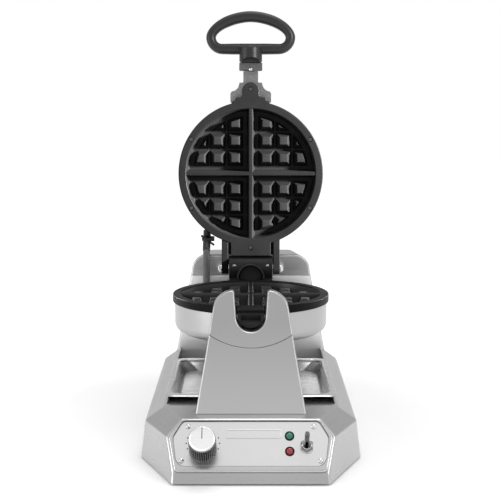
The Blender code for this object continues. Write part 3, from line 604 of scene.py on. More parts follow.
def base_hull(grow, bottom, deck):
    """The hipped body: upright walls, a sloped panel, slopes up to a flat deck. grow moves it outwards."""

    def hip(foot, top):
        part = (deck - WALL_TOP) / (DECK_Z - WALL_TOP)
        return [a + (b - a) * part for a, b in zip(foot, top)]

    half = {
        "front_low": (0.085, -0.2585, bottom),
        "front_lip": (0.084, PANEL_FOOT_Y, LIP_TOP),
        "panel_side": (0.0926, panel_y(WALL_TOP), WALL_TOP),
        "panel_top": (*hip((0.0926, panel_y(WALL_TOP)), (0.0764, panel_y(DECK_Z))), deck),
        "side_low": (FOOT_HALF_WIDTH, FRONT_CORNER_Y + 0.001, bottom),
        "side_wall": (WALL_HALF_WIDTH, FRONT_CORNER_Y, WALL_TOP),
        "side_deck": (*hip((WALL_HALF_WIDTH, FRONT_CORNER_Y), (DECK_HALF_WIDTH, FRONT_CORNER_Y)), deck),
        "rear_side_low": (FOOT_HALF_WIDTH, REAR_CORNER_Y, bottom),
        "rear_side_wall": (WALL_HALF_WIDTH, REAR_CORNER_Y, WALL_TOP),
        "rear_side_deck": (*hip((WALL_HALF_WIDTH, REAR_CORNER_Y), (DECK_HALF_WIDTH, REAR_CORNER_Y)), deck),
        "rear_low": (0.099, 0.2, bottom),
        "rear_wall": (0.096, 0.196, WALL_TOP),
        "rear_deck": (*hip((0.096, 0.196), (0.084, 0.184)), deck),
    }
    shape = bmesh.new()
    corners = {}
    for name, (x, y, z) in half.items():
        for side in (1, -1):
            forward = -grow if y < -0.2 else 0
            backward = grow if y > 0.18 else 0
            corners[name, side] = shape.verts.new(((x + grow) * side, y + forward * 1.3 + backward, z))
    columns = [
        ("front_low", "front_lip", "panel_side", "panel_top"),
        ("side_low", "side_wall", "side_deck"),
        ("rear_side_low", "rear_side_wall", "rear_side_deck"),
        ("rear_low", "rear_wall", "rear_deck"),
    ]

    def face(*keys):
        shape.faces.new([corners[key] for key in keys])

    for side in (1, -1):
        face(*[(n, side) for n in ("front_low", "side_low", "side_wall", "panel_side", "front_lip")])
        face(*[(n, side) for n in ("panel_side", "side_wall", "side_deck", "panel_top")])
        for here, there in zip(columns[1:], columns[2:]):
            for k in (0, 1):
                face((here[k], side), (there[k], side), (there[k + 1], side), (here[k + 1], side))
    for column in (columns[0], columns[3]):
        for low, high in zip(column, column[1:]):
            face((low, 1), (high, 1), (high, -1), (low, -1))
    for row in (0, -1):
        names = [column[row] for column in columns]
        face(*[(n, 1) for n in names], *[(n, -1) for n in reversed(names)])
    return outward(shape)


def rounded_box(low, high, corner):
    """A box with its four upright edges rounded."""
    return prism(filleted(rectangle(low, high), corner, 6), low[2], high[2])


def recess_cutter():
    """The tray's recess, with its lip rolled over into the deck."""
    outline = filleted(rectangle((-0.097, -0.16), (0.097, 0.125)), 0.012, 6)
    roll = 0.0013
    levels = [(0, RECESS_FLOOR)]
    for degrees in (0, 30, 60, 90):
        angle = math.radians(degrees)
        levels.append((roll * (1 - math.cos(angle)), DECK_Z + 0.00002 - roll * (1 - math.sin(angle))))
    levels.append((roll, 0.08))
    return rings_to_solid([[(x, y, z) for x, y in inset(outline, -grow)] for grow, z in levels])


def base_body():
    bend_r = 0.0022
    shell = rounded(base_hull(0, BASE_BOTTOM, DECK_Z), bend_r, 4, 6, lambda a, b: max(a.z, b.z) > 0.004)
    hollow = base_hull(-SHEET, BASE_BOTTOM - 0.01, INNER_DECK_Z)
    hollow = cut(hollow, box((-0.1, 0.0665, WELL_FLOOR - SHEET), (0.1, 0.15, 0.07)))
    well = rounded_box((-0.0985, 0.068, WELL_FLOOR), (0.0985, TOWER_FRONT_Y + SHEET + GAP, 0.08), 0.001)
    recess = recess_cutter()
    opening = rounded_box((-0.0945, -0.116, 0.04), (0.0945, 0.06, 0.07), 0.012)
    window = moved(box((-0.07, 0.011, -0.02), (0.07, 0.053, 0.01)), PANEL_PLACE)
    cord_hole = moved(rod(0.0055, -0.02, 0.02), at(CORD_AT[0], 0.198, CORD_AT[1]) @ ALONG_Y)
    shell = cut(shell, hollow, recess, well, opening, window, cord_hole)
    piece("base_body", shell, MACHINE, "base", BODY_STEEL, ["base_shell"])


def feet():
    places = {"front_left": (-0.085, -0.2), "front_right": (0.085, -0.2),
              "rear_left": (-0.09, 0.15), "rear_right": (0.09, 0.15)}
    profile = [(0, 0.0008), (0.004, 0.0008), (0.005, 0), (0.008, 0), (0.009, 0.0012), (0.0085, 0.0037),
               (0, 0.0037)]
    for name, (x, y) in places.items():
        piece(f"rubber_foot_{name}", lathe(profile, 0.0004), MACHINE @ at(x, y), "base", RUBBER,
              [f"foot_{name}"])


def cord_bushing():
    """The gland at the back, ribbed so that it can be gripped and bent."""
    profile = [(0.0036, -0.006), (0.0052, -0.006), (0.0052, 0.0006), (0.009, 0.0006), (0.009, 0.003),
               (0.0066, 0.0042)]
    for rib in range(3):
        foot = 0.005 + rib * 0.0025
        profile += [(0.0054, foot), (0.0062, foot + 0.0006), (0.006, foot + 0.0013), (0.0052, foot + 0.0018)]
    profile += [(0.005, 0.012), (0.0036, 0.012)]
    place = MACHINE @ at(CORD_AT[0], 0.199, CORD_AT[1]) @ ALONG_Y
    piece("cord_bushing", lathe(profile, 0.0003), place, "base", RUBBER, ["cord_gland"])


# ---- front post -----------------------------------------------------------------------------------
def post_front(z):
    return POST_FOOT_Y + (z - DECK_Z - GAP) * POST_LEAN


def leaning_block(outline):
    """An outline in X and Z, with its front on the post's leaning face and its rear upright."""
    front = [(x, post_front(z), z) for x, z in outline]
    rear = [(x, POST_REAR_Y, z) for x, z in outline]
    return rings_to_solid([front, rear])


def seam(offset):
    """The curved seam under the post's cap, from right to left, moved up by an offset."""
    sag = SEAM_EDGE_Z - SEAM_MIDDLE_Z
    radius = (POST_SEAM_HALF**2 + sag**2) / (2 * sag)
    half_angle = math.degrees(math.asin(POST_SEAM_HALF / radius))
    centre = (0, SEAM_MIDDLE_Z + radius + offset)
    return list(reversed(arc(centre, radius, 270 - half_angle, 270 + half_angle, 28)))


def on_post_front(a, b):
    return all(abs(p.y - post_front(p.z)) < 1e-5 for p in (a, b))


def post():
    foot = DECK_Z + GAP
    half = POST_HIGH.x
    body = leaning_block([(-half, foot), (half, foot), *seam(-GAP)])
    rounded(body, 0.0019, 4, 40, lambda a, b: on_post_front(a, b) and abs(a.z - b.z) > 0.05)
    rounded(body, 0.0004, 2, 40, lambda a, b: min(a.z, b.z) > 0.12)
    piece("post_body", body, MACHINE, "base", POST_STEEL, ["front_post"])

    shoulder = [(0.0434, 0.174), (0.0418, 0.1795), (0.0388, 0.1838), (0.035, 0.1872), (0.0305, 0.1903),
                (0.0262, 0.1922), (0.0215, POST_TOP_Z)]
    lip = (0.0195, POST_TOP_Z - 0.0015)
    notch = [lip, *arc((0, AXIS_Z - NOTCH_DROP), NOTCH_R, 0, -180, 28), (-lip[0], lip[1])]
    outline = list(reversed(seam(GAP))) + shoulder + notch + [(-x, z) for x, z in reversed(shoulder)]
    cap = leaning_block(outline)
    seam_top = SEAM_EDGE_Z + 0.001
    rounded(cap, 0.0018, 4, 40, lambda a, b: on_post_front(a, b) and max(a.z, b.z) > seam_top)
    rounded(cap, 0.001, 3, 40,
            lambda a, b: max(a.z, b.z) > seam_top and abs(a.y - POST_REAR_Y) + abs(b.y - POST_REAR_Y) < 1e-5)
    piece("post_cap", cap, MACHINE, "base", POST_STEEL, ["front_post_cap"])


# ---- rear tower -----------------------------------------------------------------------------------
def tower_side(z):
    """Half width of the tower's straight side at a height."""
    return 0.1076 - (z - 0.0469) * 0.192


def tower_outline(low, high):
    """The tower's outline between two heights."""
    half = [(tower_side(low), low)]
    if high < TOWER_TOP_Z:
        return mirrored(half + [(tower_side(high), high)])
    shoulder_z = TOWER_TOP_Z - SHOULDER_HIGH
    centre = (tower_side(shoulder_z) - SHOULDER_WIDE, shoulder_z)
    return mirrored(half + arc(centre, SHOULDER_WIDE, 0, 90, 12, SHOULDER_HIGH / SHOULDER_WIDE))


def tapered_block(outline, front, rear):
    """An outline in X and Z pushed from front to rear, narrowing with the tower's taper."""

    def ring_at(y):
        share = (y - TOWER_FRONT_Y) / (TOWER_REAR_Y - TOWER_FRONT_Y)
        width = 1 - (1 - TOWER_TAPER) * share
        return [(x * width, y, z) for x, z in outline]

    return rings_to_solid([ring_at(front), ring_at(rear)])


def tower():
    def outer_front(a, b):
        """Picks the front face's edges, apart from the level ones below the top."""
        in_front = abs(a.y - TOWER_FRONT_Y) + abs(b.y - TOWER_FRONT_Y) < 1e-5
        return in_front and (abs(a.z - b.z) >= 1e-6 or a.z >= TOWER_TOP_Z - 1e-5)

    def hollows():
        """The bearing's hole and the room inside, to cut from a half of the tower."""
        bearing = moved(rod(0.0233, -0.01, 0.01, 48), at(0, TOWER_FRONT_Y, AXIS_Z) @ ALONG_Y)
        room = inset(tower_outline(COVER_FOOT_Z, TOWER_TOP_Z), SHEET)
        return tapered_block(room, TOWER_FRONT_Y + SHEET, TOWER_REAR_Y + 0.01), bearing

    body = tapered_block(tower_outline(0.046, TOWER_SPLIT_Z), TOWER_FRONT_Y, TOWER_REAR_Y)
    rounded(body, TOWER_EDGE_R, 4, 30, outer_front)
    body = cut(body, base_hull(GAP, 0, DECK_Z + GAP), *hollows())
    apron = box((-0.0983, TOWER_FRONT_Y, WELL_FLOOR + GAP), (0.0983, TOWER_FRONT_Y + SHEET, DECK_Z + 0.003))
    body = join(body, apron)
    piece("tower_body", body, MACHINE, "base", TOWER_STEEL, ["rear_tower"])
    top = tapered_block(tower_outline(TOWER_SPLIT_Z + GAP * 2, TOWER_TOP_Z), TOWER_FRONT_Y, TOWER_REAR_Y)
    rounded(top, TOWER_EDGE_R, 4, 30, outer_front)
    top = cut(top, *hollows())
    piece("tower_hood", top, MACHINE, "base", TOWER_STEEL, ["tower_cap"])
    tower_back()


def tower_back():
    """The rear cover, with pressed louvres and a screw in each corner."""
    low = TOWER_REAR_Y + GAP
    outline = [(x * TOWER_TAPER, z) for x, z in tower_outline(COVER_FOOT_Z, TOWER_TOP_Z)]
    louvres = []
    for row in range(6):
        z = 0.084 + row * 0.0085
        fin = [(low + 0.001, z), (low + SHEET + 0.0022, z), (low + 0.001, z + 0.005)]
        louvres.append(slab(fin, -0.036, 0.036, 0.0006, 2, "X"))
    cover = join(slab(outline, low, low + SHEET, 0.0006, 2, "Y"), *louvres)
    piece("tower_back", cover, MACHINE, "base", TOWER_STEEL, ["tower_rear_cover"])
    for number, (x, z) in enumerate(((-0.078, 0.072), (0.078, 0.072), (-0.062, 0.176), (0.062, 0.176)), 1):
        place = MACHINE @ at(x, low + SHEET, z) @ ALONG_Y
        piece(f"cover_screw_{number}", pan_head(0.0034, 0.0018), place, "base", BRIGHT_STEEL)


def pan_head(radius, high):
    """A domed screw head with a cross recess."""
    profile = [(0, -0.0004), (radius, -0.0004), *arc((0, 0), radius, 8, 80, 7, high / radius), (0, high)]
    head = turned(profile, 28)
    slot_long, slot_half = radius * 0.55, radius * 0.11
    bars = [box((-slot_long, -slot_half, high * 0.45), (slot_long, slot_half, high * 2)),
            box((-slot_half, -slot_long, high * 0.45), (slot_half, slot_long, high * 2))]
    return cut(head, *bars)


# ---- drip tray ------------------------------------------------------------------------------------
def tray_ring(half_width, front, rear, corner, z, bulge):
    """A rectangle with its corners cut over a length; bulge 0 cuts them straight, 1 rounds them."""
    steps = 6
    ring = []
    for cx, cy, out_first in ((half_width, front, False), (half_width, rear, True),
                              (-half_width, rear, False), (-half_width, front, True)):
        side_x = math.copysign(corner, cx)
        side_y = corner if cy == rear else -corner
        along_x = Vector((cx - side_x, cy))
        along_y = Vector((cx, cy - side_y))
        start, end = (along_y, along_x) if out_first else (along_x, along_y)
        knee = (start + end) / 2 * (1 - bulge) + Vector((cx, cy)) * bulge
        for step in range(steps + 1):
            t = step / steps
            point = start * (1 - t) ** 2 + knee * 2 * t * (1 - t) + end * t * t
            ring.append((point.x, point.y, z))
    return ring


def tray():
    under = DECK_Z + GAP
    floor = TRAY_LOW.z
    top = TRAY_HIGH.z
    half, front, rear = TRAY_HIGH.x, TRAY_LOW.y - CENTRE_Y, TRAY_HIGH.y - CENTRE_Y
    # half width, front, rear, corner, height and bulge of each ring, from the underside to the inner floor
    rows = [
        (0.086, -0.103, 0.045, 0.018, floor, 0.1),
        (0.089, -0.106, 0.048, 0.018, floor + 0.0012, 0.2),
        (0.0938, -0.113, 0.056, 0.014, under - 0.002, 0.7),
        (0.0942, -0.114, 0.057, 0.014, under, 0.8),
        (half - 0.0008, front + 0.0008, rear - 0.0008, 0.009, under, 1),
        (half, front, rear, 0.0115, (under + top) / 2, 1),
        (half - 0.0008, front + 0.0008, rear - 0.0008, 0.011, top, 1),
        (half - 0.003, front + 0.002, rear - 0.002, 0.012, top + 0.0005, 1),
        (0.0955, -0.1168, 0.059, 0.014, top + 0.0002, 0.9),
        (0.0944, -0.1158, 0.058, 0.014, top - 0.0006, 0.9),
        (0.0936, -0.1148, 0.057, 0.014, top - 0.0024, 0.8),
        (0.088, -0.105, 0.047, 0.018, floor + SHEET + 0.002, 0.2),
        (0.0868, -0.1035, 0.0455, 0.0175, floor + SHEET + 0.0005, 0.1),
        (0.085, -0.1015, 0.0435, 0.017, floor + SHEET, 0.1),
    ]
    pan = rings_to_solid([tray_ring(*row) for row in rows])
    piece("tray_pan", pan, MACHINE, "tray", TRAY_STEEL, ["drip_tray"])


# ---- control panel --------------------------------------------------------------------------------
def control_panel():
    outer = mirrored([(0.0825, 0.0012), (0.0905, 0.0425), (0.075, 0.0622)])
    inner = mirrored([(0.0755, 0.008), (0.0815, 0.0145), (0.085, 0.0405), (0.0745, 0.059)])
    bezel = prism(filleted(outer, 0.005, 6), GAP, 0.004)
    rounded(bezel, 0.0019, 4, 40, lambda a, b: min(a.z, b.z) > 0.0035)
    bezel = cut(bezel, prism(filleted(inset(inner, -0.0009), 0.004, 6), -0.01, 0.01))
    rounded(bezel, 0.0006, 3, 40, lambda a, b: min(a.z, b.z) > 0.0035)
    piece("panel_bezel", bezel, PANEL, "base", BEZEL_STEEL, ["control_panel_frame"])

    plate = slab(filleted(inner, 0.004, 6), PANEL_PLATE_TOP - SHEET, PANEL_PLATE_TOP, 0.0004, 2)
    holes = [(spot, 0.0019) for spot in PANEL_SCREWS_AT]
    holes += [(KNOB_AT, 0.0036), (GREEN_LAMP_AT, 0.0045), (RED_LAMP_AT, 0.0045), (TOGGLE_AT, 0.0062)]
    plate = cut(plate, *[moved(rod(radius, -0.01, 0.01, 24), at(*spot)) for spot, radius in holes])
    badge = rectangle((-0.027, 0.0395), (0.033, 0.05))
    raised = slab(filleted(badge, 0.0012, 3), PANEL_PLATE_TOP - 0.0005, PANEL_PLATE_TOP + 0.0009, 0.0003, 2)
    sunk = prism(filleted(inset(badge, 0.001), 0.0008, 3), PANEL_PLATE_TOP + 0.0002, PANEL_PLATE_TOP + 0.002)
    plate = join(plate, cut(raised, sunk))
    piece("panel_plate", plate, PANEL, "base", PLATE_SATIN, ["control_panel_plate"])
    dome = [(0, -0.0002), (0.0029, -0.0002), *arc((0, 0), 0.0029, 6, 84, 8, DOME_SQUEEZE), (0, 0.0018)]
    for number, spot in enumerate(PANEL_SCREWS_AT, 1):
        place = PANEL @ at(*spot, PANEL_PLATE_TOP + 0.0004)
        piece(f"dome_screw_{number}", turned(dome, 32), place, "base", BRIGHT_STEEL,
              [f"panel_screw_{number}"])
    dot = [(0, 0), (0.0008, 0), (0.0007, 0.0002), (0, 0.00025)]
    column = ((0.0168, 0.0403), (0.0182, 0.034), (0.0168, 0.0277))
    marks = [(side * reach, v) for side in (-1, 1) for reach, v in column]
    for number, (u, v) in enumerate(marks, 1):
        place = PANEL @ at(KNOB_AT[0] + u, v, PANEL_PLATE_TOP)
        piece(f"dial_mark_{number}", turned(dot, 16), place, "base", PHENOLIC)


def ribbed_ring(radius, depth, ribs, z):
    """A ring whose radius goes in and out in rounded ribs."""
    ring = []
    steps = ribs * 6
    for step in range(steps):
        angle = 2 * math.pi * step / steps
        here = radius - depth * (0.5 - 0.5 * math.cos(angle * ribs)) ** 0.7
        ring.append((here * math.cos(angle), here * math.sin(angle), z))
    return ring


def knob():
    low = PANEL_PLATE_TOP + GAP
    top = low + KNOB_HIGH
    ribs = 38
    # radius, depth of the grooves and height of each ring
    rows = [(KNOB_R - 0.0012, 0.0001, low), (KNOB_R, 0.0002, low + 0.0008), (KNOB_R, 0.0014, low + 0.003),
            (KNOB_R - 0.0002, 0.0014, top - 0.004), (KNOB_R - 0.0003, 0.0002, top - 0.0022),
            (KNOB_R - 0.0006, 0.0, top - 0.0012), (KNOB_R - 0.0012, 0.0, top - 0.001)]
    rings = [ribbed_ring(radius, depth, ribs, z) for radius, depth, z in rows]
    skirt = cut(rings_to_solid(rings), rod(0.0033, -0.01, 0.0185, 24))
    # Faces down in the grooves get the darker copy, which is painted shade; the ribs keep the lighter one,
    # which is a painted sheen.
    for face in skirt.faces:
        middle = face.calc_center_median()
        groove = math.hypot(middle.x, middle.y) < KNOB_R - 0.0007 and low + 0.001 < middle.z < top - 0.002
        face.material_index = int(groove)
    place = PANEL @ at(*KNOB_AT)
    piece("knob_skirt", skirt, place, "knob", KNOB_RIB_PAINTED_SHEEN, ["thermostat_knob"], 40, KNOB_GROOVE_PAINTED_SHADE)
    face_r = 0.0141
    profile = [(0, top - 0.0009), (face_r, top - 0.0009), (face_r, top - 0.0002),
               *arc((face_r - 0.0011, top - 0.0002), 0.0011, 10, 80, 4),
               (face_r - 0.0016, top + 0.0006), (face_r - 0.0022, top + 0.0005), (0, top + 0.0004)]
    cap = turned(profile, 64)
    groove = box((-0.00045, 0.0002, top + 0.0001), (0.00045, face_r + 0.001, top + 0.002))
    piece("knob_cap", cut(cap, groove), place, "knob", KNOB_SATIN, ["knob_face"])
    line = box((-0.00044, 0.0003, top - 0.0002), (0.00044, face_r - 0.0012, top + 0.00025))
    piece("knob_pointer", rounded(line, 0.0001, 2), place, "knob", PHENOLIC)


def lamps():
    low = PANEL_PLATE_TOP + GAP
    for name, spot, look, slot in (("green", GREEN_LAMP_AT, GREEN, "green_lens"),
                                   ("red", RED_LAMP_AT, RED, "red_lens")):
        place = PANEL @ at(*spot)
        profile = [(0, -0.01), (0.0041, -0.01), (0.0041, low + 0.0004),
                   *arc((0, low + 0.0004), 0.004, 5, 85, 8, DOME_SQUEEZE), (0, low + 0.0004 + 0.0025)]
        piece(f"{name}_lens", turned(profile, 40), place, "base", look, [f"{name}_lamp"])
        rim = [(0.0042, low), (0.0052, low), (0.0053, low + 0.0006), (0.0049, low + 0.0013),
               (0.0043, low + 0.001)]
        piece(f"{name}_lamp_rim", lathe(rim, 0.0002), place, "base", BLOCK_BLACK)


def toggle():
    low = PANEL_PLATE_TOP + GAP
    place = PANEL @ at(*TOGGLE_AT)
    washer = rectangle((0.0062, low), (0.0084, low + 0.0008))
    piece("toggle_washer", lathe(washer, 0.0002), place, "base", BRIGHT_STEEL)
    hexagon = arc((0, 0), 0.0076, 30, 330, 5)
    crown = [(0, low + 0.002), (0.0068, low + 0.002), (0.0062, low + 0.004), (0, low + 0.004)]
    nut = join(slab(hexagon, low + 0.0009, low + 0.0032, 0.0004, 2), lathe(crown, 0.0006, 40, 3))
    nut = cut(nut, rod(0.006, -0.01, 0.02))
    piece("toggle_hex_nut", nut, place, "base", DARK_CHROME, ["toggle_nut"])
    collar = [(0, -0.022), (0.008, -0.022), (0.008, -0.004), (0.0056, -0.004), (0.0056, 0.007),
              (0.0053, 0.0074), (0.0046, 0.0074), (0.0046, -0.0055), (0, -0.0055)]
    piece("toggle_bush", lathe(collar, 0.0003), place, "base", BRIGHT_STEEL,
          ["toggle_switch_body"])
    lever = [(0, -0.0018), (0.0013, -0.0014), (0.0017, 0), (0.0016, 0.01), (0.0019, 0.0125)]
    for rib in range(4):
        foot = 0.0135 + rib * 0.0026
        lever += [(0.0021, foot), (0.0027, foot + 0.0004), (0.0027, foot + 0.0014), (0.0021, foot + 0.0018)]
    lever += [(0.0026, 0.0245), *arc((0, 0.0247), 0.0025, 0, 75, 4), (0, 0.0272)]
    tilt = at(*TOGGLE_AT, -0.002) @ Matrix.Rotation(-TOGGLE_TILT, 4, "X")
    piece("toggle_bat", turned(lever, 28), PANEL @ tilt, "toggle", LEVER_CHROME,
          ["toggle_lever"])


# ---- irons ----------------------------------------------------------------------------------------
STUD_PROFILE = [(0, 1), (0.0046, 1), (0.0052, 0.985), (0.0057, 0.94), (0.0061, 0.87), (0.0096, 0.17),
                (0.0101, 0.085), (0.0107, 0.03), (0.0115, 0), (0.012, 0)]


def stud_height(u):
    """How high a stud stands, as a share, at a distance from its middle."""
    for (near, high), (far, low) in zip(STUD_PROFILE, STUD_PROFILE[1:]):
        if u <= far:
            return high + (low - high) * (u - near) / (far - near)
    return 0


def stud_relief():
    """One block whose top rises into all the studs, with grid lines along every stud's edges."""
    sunk = 0.0002
    middles = [sign * (STUD_FIRST + STUD_PITCH * k) for k in range(3) for sign in (1, -1)]
    lines = {round(middle + side * u, 7) for middle in middles for u, _ in STUD_PROFILE for side in (1, -1)}
    lines = sorted(lines)

    def share(v):
        return stud_height(min(abs(v - middle) for middle in middles))

    shares = [share(v) for v in lines]
    floor = -CAVITY_DEEP - sunk
    shape = bmesh.new()
    top = [[shape.verts.new((x, y, floor + min(sx, sy) * (STUD_HIGH + sunk)))
            for y, sy in zip(lines, shares)] for x, sx in zip(lines, shares)]
    last = len(lines) - 1
    for i in range(last):
        for j in range(last):
            quad = [top[i][j], top[i + 1][j], top[i + 1][j + 1], top[i][j + 1]]
            heights = [round(vert.co.z, 7) for vert in quad]
            odd = [h for h in heights if heights.count(h) == 1]
            if len(odd) == 1 and len(set(heights)) == 2:
                k = heights.index(odd[0])
                for step in (1, 2):
                    shape.faces.new((quad[k], quad[(k + step) % 4], quad[(k + step + 1) % 4]))
            else:
                shape.faces.new(quad)
    edge = [top[k][0] for k in range(last)] + [top[last][k] for k in range(last)]
    edge += [top[last - k][last] for k in range(last)] + [top[0][last - k] for k in range(last)]
    low = [shape.verts.new((vert.co.x, vert.co.y, floor - 0.001)) for vert in edge]
    for k in range(len(edge)):
        m = (k + 1) % len(edge)
        shape.faces.new((edge[k], low[k], low[m], edge[m]))
    shape.faces.new(low)
    bound = turned([(0, floor - 0.01), (STUD_FIELD_FOOT_R + 0.003, floor - 0.01),
                    (STUD_FIELD_FOOT_R, floor), (STUD_FIELD_TOP_R, floor + STUD_HIGH + 0.001),
                    (0, floor + STUD_HIGH + 0.001)], 128)
    return boolean(outward(shape), "INTERSECT", bound)


def ridge(turn):
    """One bar of the cross that parts the waffle's quarters, with a rounded peak."""
    floor = -CAVITY_DEEP
    half = [(RIDGE_FOOT + 0.0006, floor - 0.001), (RIDGE_FOOT, floor + 0.0004), (0.0044, floor + 0.003),
            (0.0031, floor + RIDGE_HIGH - 0.0035), (0.0028, floor + RIDGE_HIGH - 0.0012),
            (0.0021, floor + RIDGE_HIGH - 0.0002), (0, floor + RIDGE_HIGH)]
    reach = CAVITY_R + 0.0006
    return moved(prism(mirrored(half), -reach, reach, "Y"), Matrix.Rotation(turn, 4, "Z"))


def mark_painted_shade_rim(shape):
    """Marks the faces outside the cavity for a finer grain and a darker tone, which paints shade on them."""
    for face in shape.faces:
        middle = face.calc_center_median()
        face.material_index = int(math.hypot(middle.x, middle.y) > CAVITY_R - 0.0002 or middle.z > -0.0012
                                  or middle.z < -CAVITY_DEEP - 0.001)
    return shape


def waffle_pan():
    """The cast plate, face up: a rounded flange and a dished cavity with studs and a cross of ridges."""
    face = -0.00025
    floor = -CAVITY_DEEP
    profile = [(0, -PAN_DEEP), (PAN_R, -PAN_DEEP), (PAN_R, -FLANGE_THICK), (FLANGE_R, -FLANGE_THICK),
               (FLANGE_R, face), (CAVITY_R, face), (CAVITY_FLOOR_R, floor), (0, floor)]
    return join(lathe(profile, 0.0014, 128, 4), stud_relief(), ridge(0), ridge(math.pi / 2))


def lower_iron():
    face = -0.0004
    tab = slab(mirrored([(0.014, -0.118), (0.014, -0.095)]), -FLANGE_THICK + 0.0001, face, 0.001)
    plate = join(waffle_pan(), tab)
    piece("lower_waffle_plate", mark_painted_shade_rim(plate), ROTOR, "lower_iron", LOWER_PAINTED_LIGHT_BLACK,
          ["lower_plate"], painted_shade_look=RIM_PAINTED_SHADE)
    piece("lower_casing", housing(), ROTOR, "lower_iron", HOUSING_STEEL, ["lower_housing"])


def housing():
    corner_z = -HOUSING_DEEP + HOUSING_CORNER_R
    top = -FLANGE_THICK - GAP
    middle_r = HOUSING_R - HOUSING_CORNER_R
    outer = arc((middle_r, corner_z), HOUSING_CORNER_R, -90, 0, 10)
    inner = arc((middle_r, corner_z), HOUSING_CORNER_R - SHEET, 0, -90, 10)
    profile = [(0, -HOUSING_DEEP), *outer, (HOUSING_R, top - 0.0004), (HOUSING_R - 0.0004, top),
               (HOUSING_R - SHEET, top), *inner, (0, -HOUSING_DEEP + SHEET)]
    return turned(profile, 128)


def upper_iron():
    face = -0.0003
    back = -FLANGE_THICK
    front_half = [(0.0262, 0.0905), (0.0262, 0.0975), (0.0215, 0.1), (0.02, 0.104), (0.0132, 0.105),
                  (0.0117, 0.1072), *arc((0, TAB_END - 0.011), 0.0117, 5, 85, 8), (0, TAB_END + 0.0007)]
    front = slab(mirrored(front_half), back, face, EDGE_R)
    rear_half = [(0.0275, -0.0905), (0.0275, -0.112), (0.0265, -0.113), (0, -0.113)]
    rear = slab([(-x, y) for x, y in mirrored(rear_half)], back, face, EDGE_R)
    eye = arc((-HINGE_Y, -HINGE_UP), 0.0082, 80, 270, 16)
    arm = [(-0.088, -0.0012), (-0.12, -0.0012), *eye, (-0.112, -0.0178), (-0.1, -0.0098),
           (-0.088, -0.0098)]
    arms = [slab(arm, low, high, EDGE_R, axis="X")
            for low, high in ((-ARM_OUTER_X, -ARM_INNER_X), (ARM_INNER_X, ARM_OUTER_X))]
    # Dark webs behind the tab's sides: partly a guessed flange, partly painted shade that fills the gaps
    # between the tab and the arms.
    flange_and_shade_webs = [box((x, -0.112, back), (x + 0.0045, -0.09, back + 0.0035)) for x in (-0.0315, 0.027)]
    plate = join(waffle_pan(), front, rear, *arms, *flange_and_shade_webs)
    spots = {"tab": (0, TAB_END - 0.0085), "hinge": (0, -0.1025)}
    for number, degrees in enumerate((30, 150, 210, 330), 1):
        angle = math.radians(degrees)
        spots[f"{number}"] = (RIM_SCREW_AT_R * math.cos(angle), RIM_SCREW_AT_R * math.sin(angle))
    wells = [moved(rod(0.0034, -0.0022, 0.01, 28), at(x, y)) for x, y in spots.values()]
    plate = cut(plate, *wells)
    piece("upper_waffle_plate", mark_painted_shade_rim(plate), UPPER, "upper_iron", CAST_BLACK,
          ["upper_plate"], painted_shade_look=RIM_PAINTED_SHADE)
    head = [(0, -0.0024), (0.0029, -0.0024), (0.0029, -0.001), (0.0022, -0.0004), (0, -0.0004)]
    for name, (x, y) in spots.items():
        screw = cut(lathe(head, 0.0003, 28), prism(arc((0, 0), 0.0014, 0, 300, 5), -0.0014, 0.002))
        piece(f"socket_screw_{name}", screw, UPPER @ at(x, y), "upper_iron", SCREW_DARK,
              [f"rim_screw_{name}"])
    piece("upper_casing", housing(), UPPER, "upper_iron", HOUSING_STEEL, ["upper_housing"])


# ---- hinge ----------------------------------------------------------------------------------------
def hinge():
    block_r = 0.018
    half = 0.03
    angle = math.degrees(math.asin(-(HINGE_UP + 0.0008) / block_r)) % 360
    barrel = arc((HINGE_Y, HINGE_UP), block_r, 540 - angle, 90, 18)
    outline = [(0.101, -0.026), (0.101, -0.0008), *barrel, (0.1385, HINGE_UP + block_r), (0.1385, -0.026)]
    block = slab(outline, -half, half, 0.001, axis="X")
    tunnel = moved(rod(0.0197, 0.05, 0.2, 64), ALONG_Y)
    pins = moved(rod(0.0043, -0.06, 0.06, 28), at(0, HINGE_Y, HINGE_UP) @ ALONG_X)
    piece("hinge_casting", cut(block, tunnel, pins), ROTOR, "lower_iron", BLOCK_BLACK,
          ["hinge_block"])
    ring = lathe(rectangle((0.0168, 0.117), (0.0193, 0.172)), 0.0005, 64, 3)
    piece("shaft_tube", ring, ROTOR @ ALONG_Y, "lower_iron", SCREW_DARK, ["pivot_shaft"])
    plug = [(0, 0.126), (0.008, 0.1255), (0.015, 0.1272), (0.0165, 0.13), (0.0165, 0.134), (0, 0.134)]
    piece("wire_grommet", lathe(plug, 0.001, 48, 3), ROTOR @ ALONG_Y, "lower_iron", RUBBER)
    low = ARM_OUTER_X + GAP
    dome = [(0, low), (0.007, low), (0.007, low + 0.0012), (0.0066, low + 0.0016),
            *arc((0, low + 0.0016), 0.0064, 8, 82, 8, DOME_SQUEEZE), (0, low + 0.0056)]
    washer = rectangle((0.0045, 0.0303), (0.0078, 0.0308))
    for side, sign in (("left", -1), ("right", 1)):
        place = LID @ Matrix.Rotation(sign * math.pi / 2, 4, "Y")
        piece(f"dome_nut_{side}", turned(dome, 40), place, "upper_iron", BRIGHT_STEEL,
              [f"hinge_nut_{side}"])
        piece(f"hinge_washer_{side}", lathe(washer, 0.0001, 32), place, "lower_iron", BRIGHT_STEEL)
        spot = ROTOR @ at(sign * 0.0228, 0.1145, 0.0175) @ Matrix.Rotation(math.radians(50), 4, "X")
        piece(f"block_screw_{side}", pan_head(0.0024, 0.0014), spot, "lower_iron", DARK_CHROME)


def half_round():
    """The outline that the journal and the handle's clamp share."""
    return arc((0, -GAP), JOURNAL_R, 180, 360, 28)


